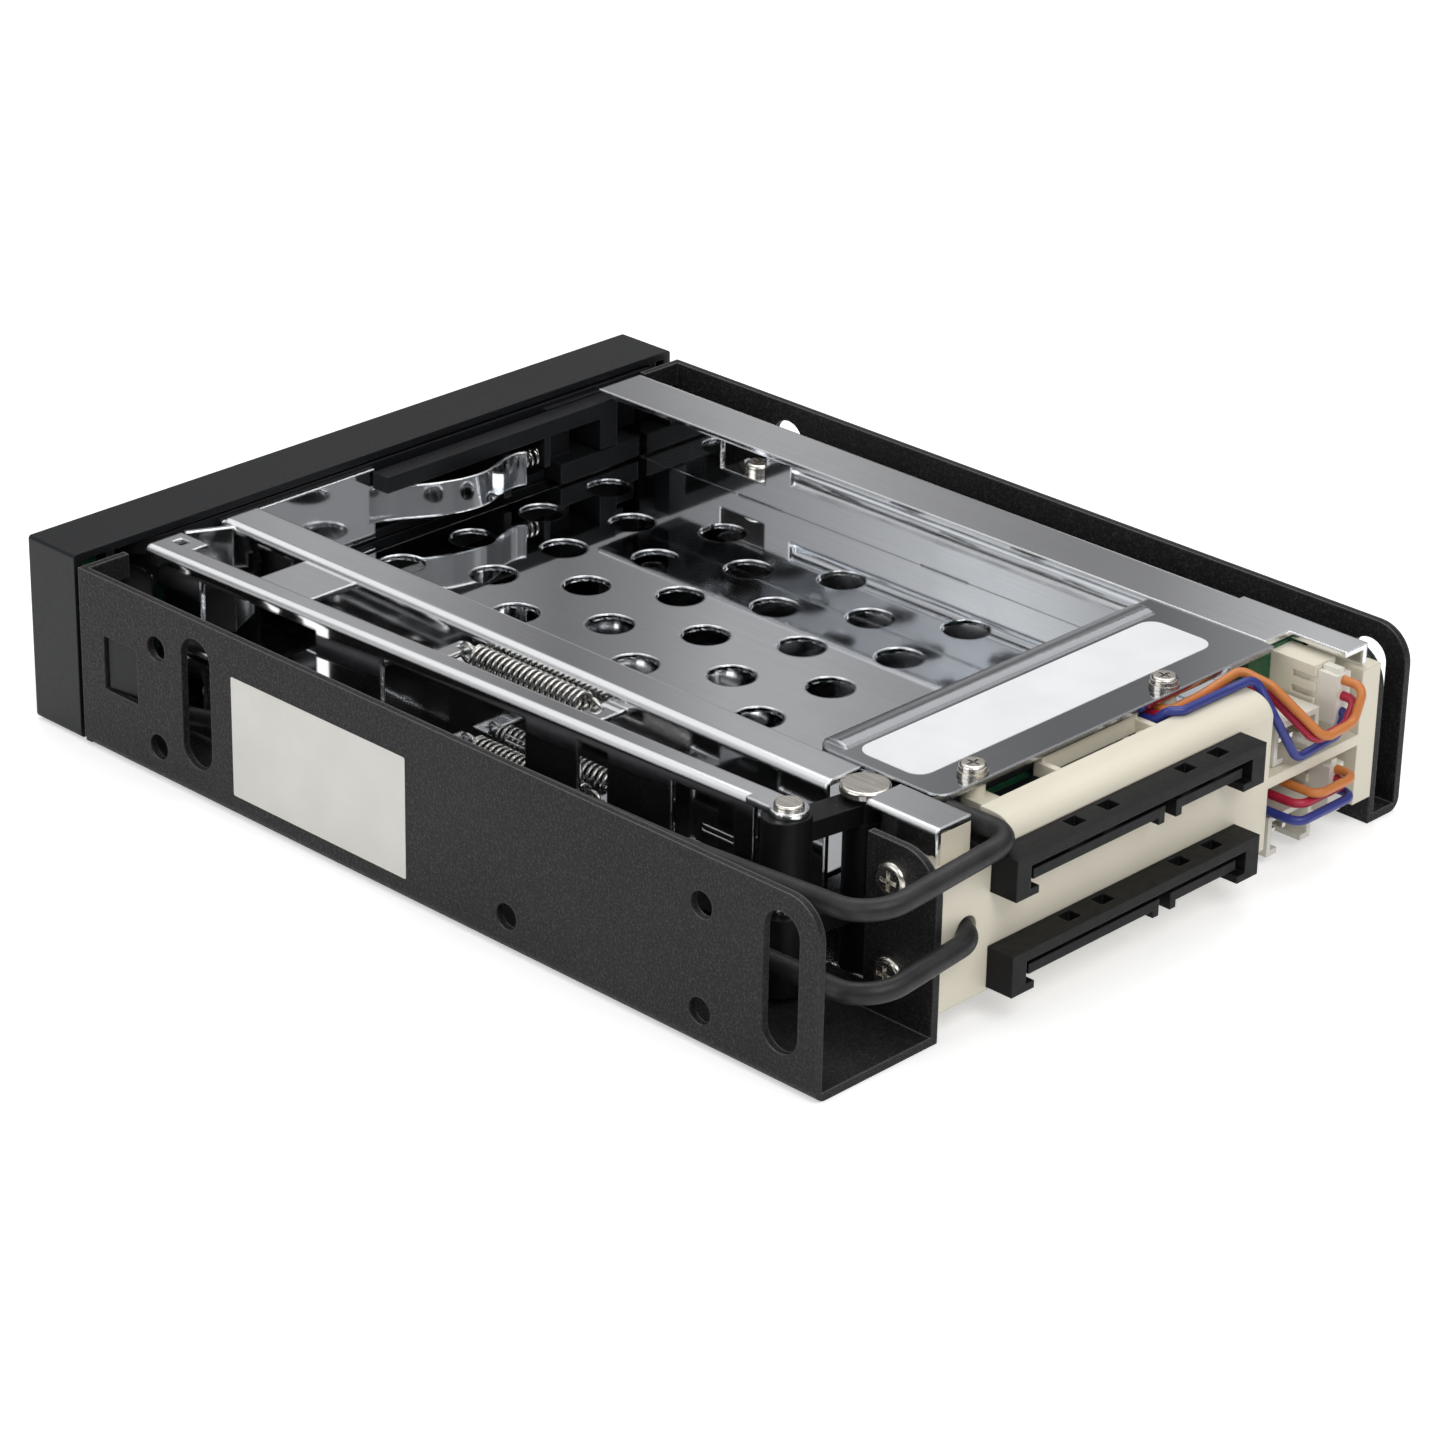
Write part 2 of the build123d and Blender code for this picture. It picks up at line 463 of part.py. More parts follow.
    # Pockets for the host connectors, and the exit of the lower sleeve
    for top in BAY_TOPS.values():
        low = top - CONNECTOR_DROP - CONNECTOR_HEIGHT
        slab((CONNECTOR_FAR, CONNECTOR_NEAR), (BRACKET_FRONT - 1, FRAME_REAR + 1),
             (low, top - CONNECTOR_DROP), Mode.SUBTRACT)
    with BuildSketch(front_plane(FRAME_REAR + 1)) as sleeve_exit:
        with Locations(SLEEVE_EXIT):
            Circle(1.6)
    extrude(amount=FRAME_REAR + 2 - BRACKET_FRONT, mode=Mode.SUBTRACT)
    for tab_x, inward in ((NEAR_TAB_INNER, -1), (FAR_TAB_INNER, 1)):
        with BuildSketch(side_plane(tab_x)) as screw_holes:
            with Locations(*[(at(TAB_SCREW_DEPTH), z) for z in TAB_SCREW_HEIGHTS]):
                Circle(1.05)
        extrude(amount=inward * 2.6, mode=Mode.SUBTRACT)
write(backplane_bracket.part, "backplane_bracket")


def pan_screw(plane, head_radius, head_height, shank_radius, shank_length):
    """Pan head screw with a cross recess; the head stands on the plane."""
    with BuildSketch(plane) as head:
        Circle(head_radius)
    dome = extrude(head.sketch, amount=head_height)
    fillet(dome.edges().sort_by(Axis(plane.origin, plane.z_dir))[-1], head_height * 0.5)
    top = plane.offset(head_height)
    with BuildSketch(top) as recess:
        Rectangle(head_radius * 1.1, head_radius * 0.24)
        Rectangle(head_radius * 0.24, head_radius * 1.1)
    extrude(recess.sketch, amount=-head_height * 0.55, mode=Mode.SUBTRACT)
    with BuildSketch(plane) as shank:
        Circle(shank_radius)
    extrude(shank.sketch, amount=-shank_length)


WASHER_THICKNESS = 0.5
SCREW_HEAD = 0.9
SCREW_HEAD_RADIUS = 1.6
with BuildPart() as plate_lock_washers:
    with BuildSketch(Plane.XY.offset(CAGE_TOP)) as washer_rings:
        with Locations(*[(x, at(PLATE_SCREW_DEPTH)) for x in PLATE_SCREWS_X]):
            Circle(SCREW_HEAD_RADIUS + 0.15)
            Circle(1.1, mode=Mode.SUBTRACT)
    extrude(amount=WASHER_THICKNESS)
write(plate_lock_washers.part, "plate_lock_washers")

with BuildPart() as plate_screws:
    for x in PLATE_SCREWS_X:
        seat = Plane(origin=(x, at(PLATE_SCREW_DEPTH), CAGE_TOP + WASHER_THICKNESS))
        pan_screw(seat, SCREW_HEAD_RADIUS, SCREW_HEAD, 1.0, WASHER_THICKNESS + STEEL + 1.9)
write(plate_screws.part, "plate_screws")

with BuildPart() as tab_screws:
    for tab_face_x, outward in ((NEAR_TAB_INNER + FRAME_SHEET, 1), (FAR_TAB_INNER - FRAME_SHEET, -1)):
        for z in TAB_SCREW_HEIGHTS:
            seat = Plane(origin=(tab_face_x, at(TAB_SCREW_DEPTH), z), x_dir=(0, 1, 0),
                         z_dir=(outward, 0, 0))
            pan_screw(seat, 2.1, 1.1, 1.0, FRAME_SHEET + 2.4)
write(tab_screws.part, "tab_screws")

with BuildPart() as shelf_screw:
    shelf_x = CAGE_FAR - SHELF_REACH / 2
    seat = Plane(origin=(shelf_x, at(sum(WINDOW_DEPTHS) / 2), WINDOW_HEIGHTS[0]))
    pan_screw(seat, 1.8, 1.2, 0.9, 0.6)
write(shelf_screw.part, "shelf_screw")

# Front bezel: a hollow moulding with the door opening and side arms that snap into the frame
OPENING_NEAR = HINGE_X + HINGE_DEPTH - DOOR_FACE + DOOR_GAP
INNER_BOTTOM = BEZEL_BOTTOM + BEZEL_WALL
INNER_TOP = BEZEL_TOP - BEZEL_WALL
RIB_NEAR = BEZEL_HALF_WIDTH - 6.2
LAMP_X = BEZEL_HALF_WIDTH - 3.2
LAMP_RADIUS = 1.0
LAMP_DROPS = (4.4, 8.2)
SNAP_REACH = 21.4
SNAP_THICKNESS = 1.3
with BuildPart() as front_bezel:
    with BuildSketch(front_plane(BEZEL_DEPTH)) as bezel_outline:
        with Locations((0, (BEZEL_BOTTOM + BEZEL_TOP) / 2)):
            RectangleRounded(2 * BEZEL_HALF_WIDTH, BEZEL_TOP - BEZEL_BOTTOM, 0.5)
    extrude(amount=BEZEL_DEPTH)
    fillet(front_bezel.faces().sort_by(Axis.Y)[0].edges(), 0.4)
    slab((-BEZEL_HALF_WIDTH + 1.2, BEZEL_HALF_WIDTH - 1.2), (BEZEL_SKIN, BEZEL_DEPTH + 1),
         (INNER_BOTTOM, INNER_TOP), Mode.SUBTRACT)
    slab((OPENING_FAR, OPENING_NEAR), (-1, BEZEL_SKIN + 1), (INNER_BOTTOM, INNER_TOP),
         Mode.SUBTRACT)
    slab((OPENING_FAR - 1.2, OPENING_FAR), (BEZEL_SKIN, BEZEL_DEPTH), (INNER_BOTTOM, INNER_TOP))
    slab((RIB_NEAR, RIB_NEAR + 1.2), (BEZEL_SKIN, BEZEL_DEPTH), (INNER_BOTTOM, INNER_TOP))
    for z in (BEZEL_BOTTOM + 0.2, INNER_TOP - 1):
        rod(HINGE_X, HINGE_DEPTH, HINGE_PIN_RADIUS, (z, z + 0.8 + 1), Mode.SUBTRACT)
    with BuildSketch(front_plane(BEZEL_SKIN + 1)) as lamp_holes:
        with Locations(*[(LAMP_X, top - drop) for top in BAY_TOPS.values() for drop in LAMP_DROPS]):
            Circle(LAMP_RADIUS + 0.05)
    extrude(amount=BEZEL_SKIN + 2, mode=Mode.SUBTRACT)
    for side in (1, -1):
        inner_face = HALF_WIDTH - FRAME_SHEET - 0.1
        middle = SNAP_WINDOW_MIDDLE
        with BuildSketch(Plane.XY.offset(middle - SNAP_WINDOW_HEIGHT / 2 + 0.3)) as snap:
            with BuildLine():
                Polyline((side * (inner_face - SNAP_THICKNESS), at(BEZEL_DEPTH - 1.8)),
                         (side * inner_face, at(BEZEL_DEPTH - 1.8)),
                         (side * inner_face, at(SNAP_WINDOW_FRONT + 0.4)),
                         (side * (inner_face + 0.7), at(SNAP_WINDOW_FRONT + 0.4)),
                         (side * inner_face, at(SNAP_WINDOW_FRONT + SNAP_WINDOW_LENGTH - 0.3)),
                         (side * inner_face, at(SNAP_REACH)),
                         (side * (inner_face - SNAP_THICKNESS), at(SNAP_REACH)), close=True)
            make_face()
        extrude(amount=SNAP_WINDOW_HEIGHT - 0.6)
write(front_bezel.part, "front_bezel")

# Status lamps and their board behind the near pillar
LAMP_BOARD_FRONT = 5.8
with BuildPart() as status_lamps:
    with BuildSketch(front_plane(LAMP_BOARD_FRONT)) as lamp_section:
        with Locations(*[(LAMP_X, top - drop) for top in BAY_TOPS.values() for drop in LAMP_DROPS]):
            Circle(LAMP_RADIUS)
    extrude(amount=LAMP_BOARD_FRONT - 0.1)
write(status_lamps.part, "status_lamps")

with BuildPart() as lamp_board:
    slab((RIB_NEAR + 1.3, BEZEL_HALF_WIDTH - 1.3), (LAMP_BOARD_FRONT, LAMP_BOARD_FRONT + 1.2),
         (INNER_BOTTOM + 0.2, INNER_TOP - 0.2))
write(lamp_board.part, "lamp_board")

# Hinge pin shared by both doors
with BuildPart() as hinge_pin:
    rod(HINGE_X, HINGE_DEPTH, HINGE_PIN_RADIUS, (BEZEL_BOTTOM + 0.25, INNER_TOP + 0.75))
write(hinge_pin.part, "hinge_pin")

# Doors and what rides on them
DOOR_HEIGHT = (INNER_TOP - INNER_BOTTOM - 3 * 0.3) / 2
DOOR_FAR = OPENING_FAR + DOOR_GAP
DOOR_ROUND = HINGE_DEPTH - DOOR_FACE
BLOCK_X = (CAGE_INNER_FAR + 0.8, DOOR_FAR + 19.2)
BLOCK_REAR = 12.4
SPRING_POST_X = (DOOR_FAR + 28.0, DOOR_FAR + 29.2)
LATCH_SHOULDER_X = (DOOR_FAR + 21.0, DOOR_FAR + 22.0)
HEEL_HEIGHT = 5.0
HEEL_GAP = 6.2
BUTTON_X = (DOOR_FAR + 2.2, DOOR_FAR + 12.2)
LATCH_TRAVEL = 2.5
LATCH_BAR_END = HINGE_X - 32.8
DOOR_PLATE_X = (HINGE_X - 33.4, HINGE_X - 8.4)
LATCH_BAR_DEPTHS = (9.9, 12.6)
LATCH_SPRING_RADIUS = 1.1
LATCH_SPRING_WIRE = 0.4
LATCH_SPRING_TURNS = 5
door_bottoms = {"lower": INNER_BOTTOM + 0.3, "upper": INNER_BOTTOM + 0.6 + DOOR_HEIGHT}

for bay, bottom in door_bottoms.items():
    top = bottom + DOOR_HEIGHT
    middle = bottom + DOOR_HEIGHT / 2
    bar_z = (top - 3.0, top - 0.8)

    with BuildPart() as door_panel:
        with BuildSketch(Plane.XY.offset(bottom)) as panel_plan:
            with BuildLine():
                Polyline((HINGE_X, at(DOOR_FACE)), (DOOR_FAR, at(DOOR_FACE)),
                         (DOOR_FAR, at(DOOR_REAR)), (HINGE_X, at(HINGE_DEPTH + DOOR_ROUND)))
                ThreePointArc((HINGE_X, at(HINGE_DEPTH + DOOR_ROUND)),
                              (HINGE_X + DOOR_ROUND, at(HINGE_DEPTH)), (HINGE_X, at(DOOR_FACE)))
            make_face()
        extrude(amount=DOOR_HEIGHT)
        # Hollow back
        slab((DOOR_FAR + DOOR_WALL, HINGE_X - DOOR_ROUND), (DOOR_FACE + DOOR_SKIN, DOOR_REAR + 1),
             (bottom + DOOR_WALL, top - DOOR_WALL), Mode.SUBTRACT)
        # Block behind the latch, and the wall that the steel plate is fixed to
        slab(BLOCK_X, (DOOR_FACE + DOOR_SKIN, BLOCK_REAR), (bottom + 0.3, top - 0.7))
        slab(SPRING_POST_X, (DOOR_FACE + DOOR_SKIN, LATCH_BAR_DEPTHS[1] - 0.4),
             (bottom + 1.0, middle + 1.6))
        slab(DOOR_PLATE_X, (DOOR_REAR - 1.2, DOOR_REAR), (bottom + 0.5, top - 0.5))
        # Gap in the round end for the pad of the rod, and the heel that pushes it
        slab((HINGE_X + HEEL_HUB, HINGE_X + DOOR_ROUND + 1), (HINGE_DEPTH - 1.9, DOOR_REAR + 1),
             (middle - HEEL_GAP / 2, middle + HEEL_GAP / 2), Mode.SUBTRACT)
        heel_x = HINGE_X + HEEL_REACH * cos(HEEL_START)
        heel_depth = HINGE_DEPTH + HEEL_REACH * sin(HEEL_START)
        with BuildSketch(Plane.XY.offset(middle - HEEL_HEIGHT / 2)) as heel:
            with Locations((heel_x, at(heel_depth))):
                Circle(HEEL_RADIUS)
            with BuildLine():
                Polyline((HINGE_X + 1.2, at(HINGE_DEPTH - 2.2)), (heel_x, at(heel_depth - HEEL_RADIUS)),
                         (heel_x, at(heel_depth + 0.3)), (HINGE_X + 1.2, at(HINGE_DEPTH - 0.3)),
                         close=True)
            make_face()
        extrude(amount=HEEL_HEIGHT)
        rod(HINGE_X, HINGE_DEPTH, HINGE_PIN_RADIUS + HINGE_CLEARANCE, (bottom - 1, top + 1),
            Mode.SUBTRACT)
        # Slot for the release button, and the channel of the latch behind it
        slab((BUTTON_X[0] - 0.4, BUTTON_X[1] + LATCH_TRAVEL + 0.4), (-1, BLOCK_REAR + 1),
             (middle - 2.4, middle + 2.4), Mode.SUBTRACT)
        slab((DOOR_FAR - 1, BUTTON_X[1] + LATCH_TRAVEL + 0.4), (3.0, 6.0),
             (middle - 2.4, middle + 2.4), Mode.SUBTRACT)
        slab((BUTTON_X[0] + 1.0, BLOCK_X[1] + 1), (LATCH_BAR_DEPTHS[0] - 0.3, BLOCK_REAR + 1),
             (middle - 2.4, top + 1), Mode.SUBTRACT)
    write(door_panel.part, f"door_panel_{bay}")

    # Release button, nose and the long bar behind the door, in one moulding
    with BuildPart() as door_latch:
        slab(BUTTON_X, (DOOR_FACE + 0.3, DOOR_REAR - 0.4), (middle - 2.1, middle + 2.1))
        slab((BUTTON_X[1] - 3.0, BUTTON_X[1]), (DOOR_REAR - 1, LATCH_BAR_DEPTHS[1]),
             (middle - 2.1, middle + 2.1))
        slab((DOOR_FAR + 0.1, BUTTON_X[0] + 1), (3.3, 5.7), (middle - 2.1, middle + 2.1))
        slab((BUTTON_X[1] - 3.0, LATCH_BAR_END), LATCH_BAR_DEPTHS, bar_z)
        slab((BUTTON_X[1] - 3.0, BUTTON_X[1]), LATCH_BAR_DEPTHS, (middle - 2.1, bar_z[1]))
        slab(LATCH_SHOULDER_X, (LATCH_BAR_DEPTHS[0], LATCH_BAR_DEPTHS[1] - 0.4),
             (middle - 2.0, bar_z[0] + 0.1))
        for step in range(4):
            slab((BUTTON_X[0] + 2.0 + 1.8 * step, BUTTON_X[0] + 2.8 + 1.8 * step),
                 (DOOR_FACE - 1, DOOR_FACE + 0.8), (middle - 3, middle + 3), Mode.SUBTRACT)
    write(door_latch.part, f"door_latch_{bay}")

    # Steel plate with the wavy leaf that presses the drive against its connector
    with BuildPart() as door_plate:
        slab(DOOR_PLATE_X, (DOOR_REAR + 0.02, DOOR_REAR + 0.42), (bottom + 0.6, top - 0.6))
        with BuildSketch(Plane.XY.offset(middle - 2.6)) as leaf_plan:
            with BuildLine():
                leaf_root = DOOR_PLATE_X[0] + 1.0
                Spline((leaf_root, at(DOOR_REAR + 0.22)), (leaf_root - 8.5, at(DOOR_REAR + 4.4)),
                       (leaf_root - 15.5, at(DOOR_REAR + 5.6)), (leaf_root - 21.0, at(DOOR_REAR + 4.0)),
                       (leaf_root - 23.4, at(DOOR_REAR + 4.6)), tangents=((-1, 0.25), (-0.5, 1)))
            trace(line_width=0.4)
        extrude(amount=4.6)
    write(door_plate.part, f"door_plate_{bay}")

    # Small spring that pushes the latch towards its keeper
    coil_length = SPRING_POST_X[0] - LATCH_SHOULDER_X[1] - 0.5
    coil_start = (LATCH_SHOULDER_X[1] + 0.25, at(sum(LATCH_BAR_DEPTHS) / 2 - 0.2), middle - 0.4)
    with BuildPart() as latch_spring:
        with BuildLine() as coil_path:
            Helix(coil_length / LATCH_SPRING_TURNS, coil_length, LATCH_SPRING_RADIUS,
                  center=coil_start, direction=(1, 0, 0))
        with BuildSketch(Plane(origin=coil_path.line @ 0, z_dir=coil_path.line % 0)):
            RegularPolygon(LATCH_SPRING_WIRE / 2, 6)
        sweep(path=coil_path.line, is_frenet=True)
    write(latch_spring.part, f"latch_spring_{bay}")

# Post that both ejector arms turn on, with a spacer tube below each arm
pivot = (PIVOT_X, PIVOT_DEPTH)
with BuildPart() as pivot_post:
    rod(*pivot, PIVOT_RADIUS, (FRAME_SHEET, CAGE_TOP - 0.6))
    rod(*pivot, PIVOT_HEAD, (CAGE_TOP - ARM_DROPS[1] + 0.6, CAGE_TOP - 0.1))
    fillet(pivot_post.edges().group_by(Axis.Z)[-1], 0.4)
write(pivot_post.part, "pivot_post")

spacer_ranges = {
    "lower": (CAGE_FLOOR, DIVIDER_TOP - ARM_DROPS[0] - 0.05),
    "middle": (DIVIDER_TOP - ARM_DROPS[1] + 0.05, CAGE_TOP - ARM_DROPS[0] - 0.05),
    "upper": (CAGE_TOP - ARM_DROPS[1] + 0.05, CAGE_TOP - ARM_DROPS[1] + 0.6),
}
for level, z_range in spacer_ranges.items():
    with BuildPart() as pivot_spacer:
        rod(*pivot, ARM_BOSS_RADIUS, z_range)
        rod(*pivot, PIVOT_RADIUS, z_range, Mode.SUBTRACT)
    write(pivot_spacer.part, f"pivot_spacer_{level}")


def wall_x(depth, inset=0.0):
    """X of the push rod's outer face at a depth; the rod is set at a slight skew."""
    return ROD_FRONT_X - (depth - ROD_FRONT) * tan(ROD_SKEW) - inset


ROD_WINDOWS = ((21.2, 41.2), (52.0, 75.4), (83.4, 88.1), (97.7, 107.0))
WINDOW_DROPS = (8.8, 1.9)
TONGUE_WIDTH = 3.2
PAD_FRONT = HINGE_DEPTH + HEEL_REACH * sin(HEEL_START) + HEEL_RADIUS + HEEL_LOST_MOTION
PAD_INNER = HINGE_X + HEEL_HUB + 0.2
EYE_FRONT = SPRING_FRONT - SPRING_EYE
ROD_HOOK = (EYE_FRONT - 2.5, EYE_FRONT - 0.2)
ARM_NEAREST = RIVET_X - PIVOT_X

for bay, top in BAY_TOPS.items():
    door_middle = door_bottoms[bay] + DOOR_HEIGHT / 2

    with BuildPart() as push_rod:
        with BuildSketch(Plane.XY.offset(top - STEEL)) as flange_plan:
            with BuildLine():
                Polyline((wall_x(ROD_FRONT), at(ROD_FRONT)), (wall_x(ROD_REAR), at(ROD_REAR)),
                         (wall_x(ROD_REAR, ROD_FLANGE), at(ROD_REAR)),
                         (wall_x(ROD_FRONT, ROD_FLANGE), at(ROD_FRONT)), close=True)
            make_face()
        extrude(amount=STEEL)
        with BuildSketch(Plane.XY.offset(top - ROD_HEIGHT)) as wall_plan:
            with BuildLine():
                Polyline((wall_x(ROD_FRONT), at(ROD_FRONT)), (wall_x(ROD_REAR), at(ROD_REAR)),
                         (wall_x(ROD_REAR, STEEL), at(ROD_REAR)),
                         (wall_x(ROD_FRONT, STEEL), at(ROD_FRONT)), close=True)
            make_face()
        extrude(amount=ROD_HEIGHT)
        crest = push_rod.edges().filter_by(lambda e: e.length > 90).group_by(Axis.Z)[-1]
        fillet(crest.sort_by(Axis.X)[-1], 1.0)
        for window in ROD_WINDOWS:
            slab((ROD_REAR_X - 2, ROD_FRONT_X + 1), window,
                 (top - WINDOW_DROPS[0], top - WINDOW_DROPS[1]), Mode.SUBTRACT)
        # Wide head in front, with its square hole
        slab((ROD_FRONT_X - ROD_HEAD_FLANGE, ROD_FRONT_X - 1.2), (ROD_FRONT, ROD_FRONT + ROD_HEAD_LENGTH),
             (top - STEEL, top))
        slab((ROD_FRONT_X - 4.4, ROD_FRONT_X - 3.0), (ROD_FRONT + 1.4, ROD_FRONT + 3.0),
             (top - STEEL - 1, top + 1), Mode.SUBTRACT)
        # Tongue that the rivet goes through
        with BuildSketch(Plane.XY.offset(top - STEEL)) as tongue:
            with Locations((RIVET_X, at((ROD_REAR - 1 + RIVET_DEPTH) / 2))):
                Rectangle(TONGUE_WIDTH, RIVET_DEPTH - ROD_REAR + 1)
            with Locations((RIVET_X, at(RIVET_DEPTH))):
                Circle(TONGUE_WIDTH / 2 + 0.6)
                Circle(RIVET_RADIUS, mode=Mode.SUBTRACT)
        extrude(amount=STEEL)
        # Hook for the return spring, bent down from the flange
        hook_x = wall_x(ROD_HOOK[0], ROD_FLANGE)
        axis_z = top - SPRING_DROP
        slab((hook_x - 0.3, hook_x + STEEL), ROD_HOOK, (axis_z - STEEL / 2, top - STEEL / 2))
        slab((SPRING_X - 1.3, hook_x + STEEL), ROD_HOOK, (axis_z - STEEL / 2, axis_z + STEEL / 2))
        rod(SPRING_X, EYE_FRONT - SPRING_EYE, SPRING_WIRE / 2 + 0.2,
            (axis_z - STEEL, axis_z + STEEL), Mode.SUBTRACT)
        # Pad that the heel of the door pushes, carried on a finger of the side wall
        pad_z = (door_middle - HEEL_HEIGHT / 2, door_middle + HEEL_HEIGHT / 2)
        slab((wall_x(ROD_FRONT, STEEL), wall_x(ROD_FRONT)), (PAD_FRONT, ROD_FRONT + 1), pad_z)
        slab((PAD_INNER, wall_x(ROD_FRONT)), (PAD_FRONT, PAD_FRONT + STEEL), pad_z)
    write(push_rod.part, f"push_rod_{bay}")

    with BuildPart() as rod_rivet:
        rod(RIVET_X, RIVET_DEPTH, RIVET_RADIUS, (top - ROD_HEIGHT + 0.2, top))
        rod(RIVET_X, RIVET_DEPTH, RIVET_HEAD, (top, top + RIVET_HEAD_HEIGHT))
        fillet(rod_rivet.edges().group_by(Axis.Z)[-1], 0.3)
    write(rod_rivet.part, f"rod_rivet_{bay}")

    # Ejector arm: hub on the rivet, boss on the post, finger behind the drive
    with BuildPart() as ejector_arm:
        with BuildSketch(Plane.XY.offset(top - ARM_DROPS[0])) as beam:
            with Locations(Location((PIVOT_X, at(PIVOT_DEPTH), 0), (0, 0, degrees(ARM_START)))):
                with Locations((ARM_REACH / 2, 0)):
                    Rectangle(ARM_REACH, ARM_BEAM)
            with Locations((PIVOT_X - ARM_FINGER / 2, at(PIVOT_DEPTH))):
                SlotOverall(ARM_FINGER + 2, ARM_BEAM - 0.6)
            with Locations((PIVOT_X, at(PIVOT_DEPTH))):
                Circle(ARM_BOSS_RADIUS)
        extrude(amount=ARM_DROPS[0] - ARM_DROPS[1])
        with BuildSketch(Plane.XY.offset(top - ROD_HEIGHT + 0.3)) as hub:
            with Locations(Location((PIVOT_X, at(PIVOT_DEPTH), 0), (0, 0, degrees(ARM_START)))):
                with Locations(((ARM_NEAREST + ARM_REACH + ARM_SLOT_EXTRA) / 2, 0)):
                    SlotCenterToCenter(ARM_REACH + ARM_SLOT_EXTRA - ARM_NEAREST, 2 * ARM_HUB_RADIUS)
        extrude(amount=ROD_HEIGHT - 0.3 - STEEL - 0.05)
        with BuildSketch(Plane.XY.offset(top - ROD_HEIGHT)) as hub_slot:
            with Locations(Location((PIVOT_X, at(PIVOT_DEPTH), 0), (0, 0, degrees(ARM_START)))):
                with Locations(((ARM_NEAREST + ARM_REACH + ARM_SLOT_EXTRA) / 2, 0)):
                    SlotCenterToCenter(ARM_REACH + ARM_SLOT_EXTRA - ARM_NEAREST,
                                       2 * (RIVET_RADIUS + 0.16))
            with Locations((PIVOT_X, at(PIVOT_DEPTH))):
                Circle(PIVOT_RADIUS + 0.05)
        extrude(amount=ROD_HEIGHT, mode=Mode.SUBTRACT)
    write(ejector_arm.part, f"ejector_arm_{bay}")

    # Return spring between the cage and the rod
    with BuildPart() as return_spring:
        coil_length = SPRING_REAR - SPRING_FRONT
        with BuildLine() as coil_path:
            Helix(coil_length / SPRING_TURNS, coil_length, SPRING_RADIUS,
                  center=(SPRING_X, at(SPRING_FRONT), top - SPRING_DROP), direction=(0, 1, 0))
        with BuildSketch(Plane(origin=coil_path.line @ 0, z_dir=coil_path.line % 0)):
            RegularPolygon(SPRING_WIRE / 2, 6)
        sweep(path=coil_path.line, is_frenet=True)
        for eye_depth in (EYE_FRONT, SPRING_REAR + SPRING_EYE):
            with Locations(Location((SPRING_X, at(eye_depth), top - SPRING_DROP), (0, 90, 0))):
                Torus(SPRING_EYE, SPRING_WIRE / 2)
        for end in (SPRING_FRONT, SPRING_REAR):
            with BuildSketch(front_plane(end + SPRING_WIRE / 2)) as link:
                with Locations((SPRING_X, top - SPRING_DROP + SPRING_RADIUS / 2)):
                    Rectangle(SPRING_WIRE, SPRING_RADIUS)
            extrude(amount=SPRING_WIRE)
    write(return_spring.part, f"return_spring_{bay}")

# Backplane board
BOARD_NEAR = CONNECTOR_NEAR + 1.7
BOARD_FAR = CAGE_INNER_FAR + 0.3
BOARD_STEP = FAR_TAB_INNER + 13.4
BOARD_TOP = CAGE_TOP - CONNECTOR_DROP - 0.4
with BuildPart() as backplane_board:
    slab((BOARD_FAR, BOARD_NEAR), (BOARD_FRONT, BOARD_REAR), (CAGE_FLOOR + 0.5, BOARD_TOP))
    slab((BOARD_FAR, BOARD_STEP), (BOARD_FRONT, BOARD_REAR), (BOARD_TOP, BRACKET_TOP))
write(backplane_board.part, "backplane_board")

SHROUD_TOP = 1.3
SHROUD_END = 2.3
SHROUD_FOOT = 1.4
FOOT_HEIGHT = 0.9
CAVITY_DEPTH = 6.0
TONGUE_THICKNESS = 1.2
TONGUE_DROP = 2.3
KEY_SPLIT = CONNECTOR_NEAR - 26.6
TOP_SLOT = (2.2, 1.8)
TOP_SLOTS_X = [CONNECTOR_NEAR - inset for inset in (11.8, 17.5, 30.8, 36.6)]
DRIVE_CONNECTOR_DROPS = (9.6, 4.3)
CONTACT_PITCH = 1.27
HEADER_X = (FAR_TAB_INNER + 5.3, FAR_TAB_INNER + 9.2)
HEADER_REAR = 128.6
HEADER_DROPS = (9.0, 1.5)
HEADER_WALL = 0.6
PLUG_REAR = 131.4
SPARE_REAR = 130.0
SPARE_BASE = 124.8
SPARE_DROPS = (11.1, 6.0)
SPARE_WALL = 0.7

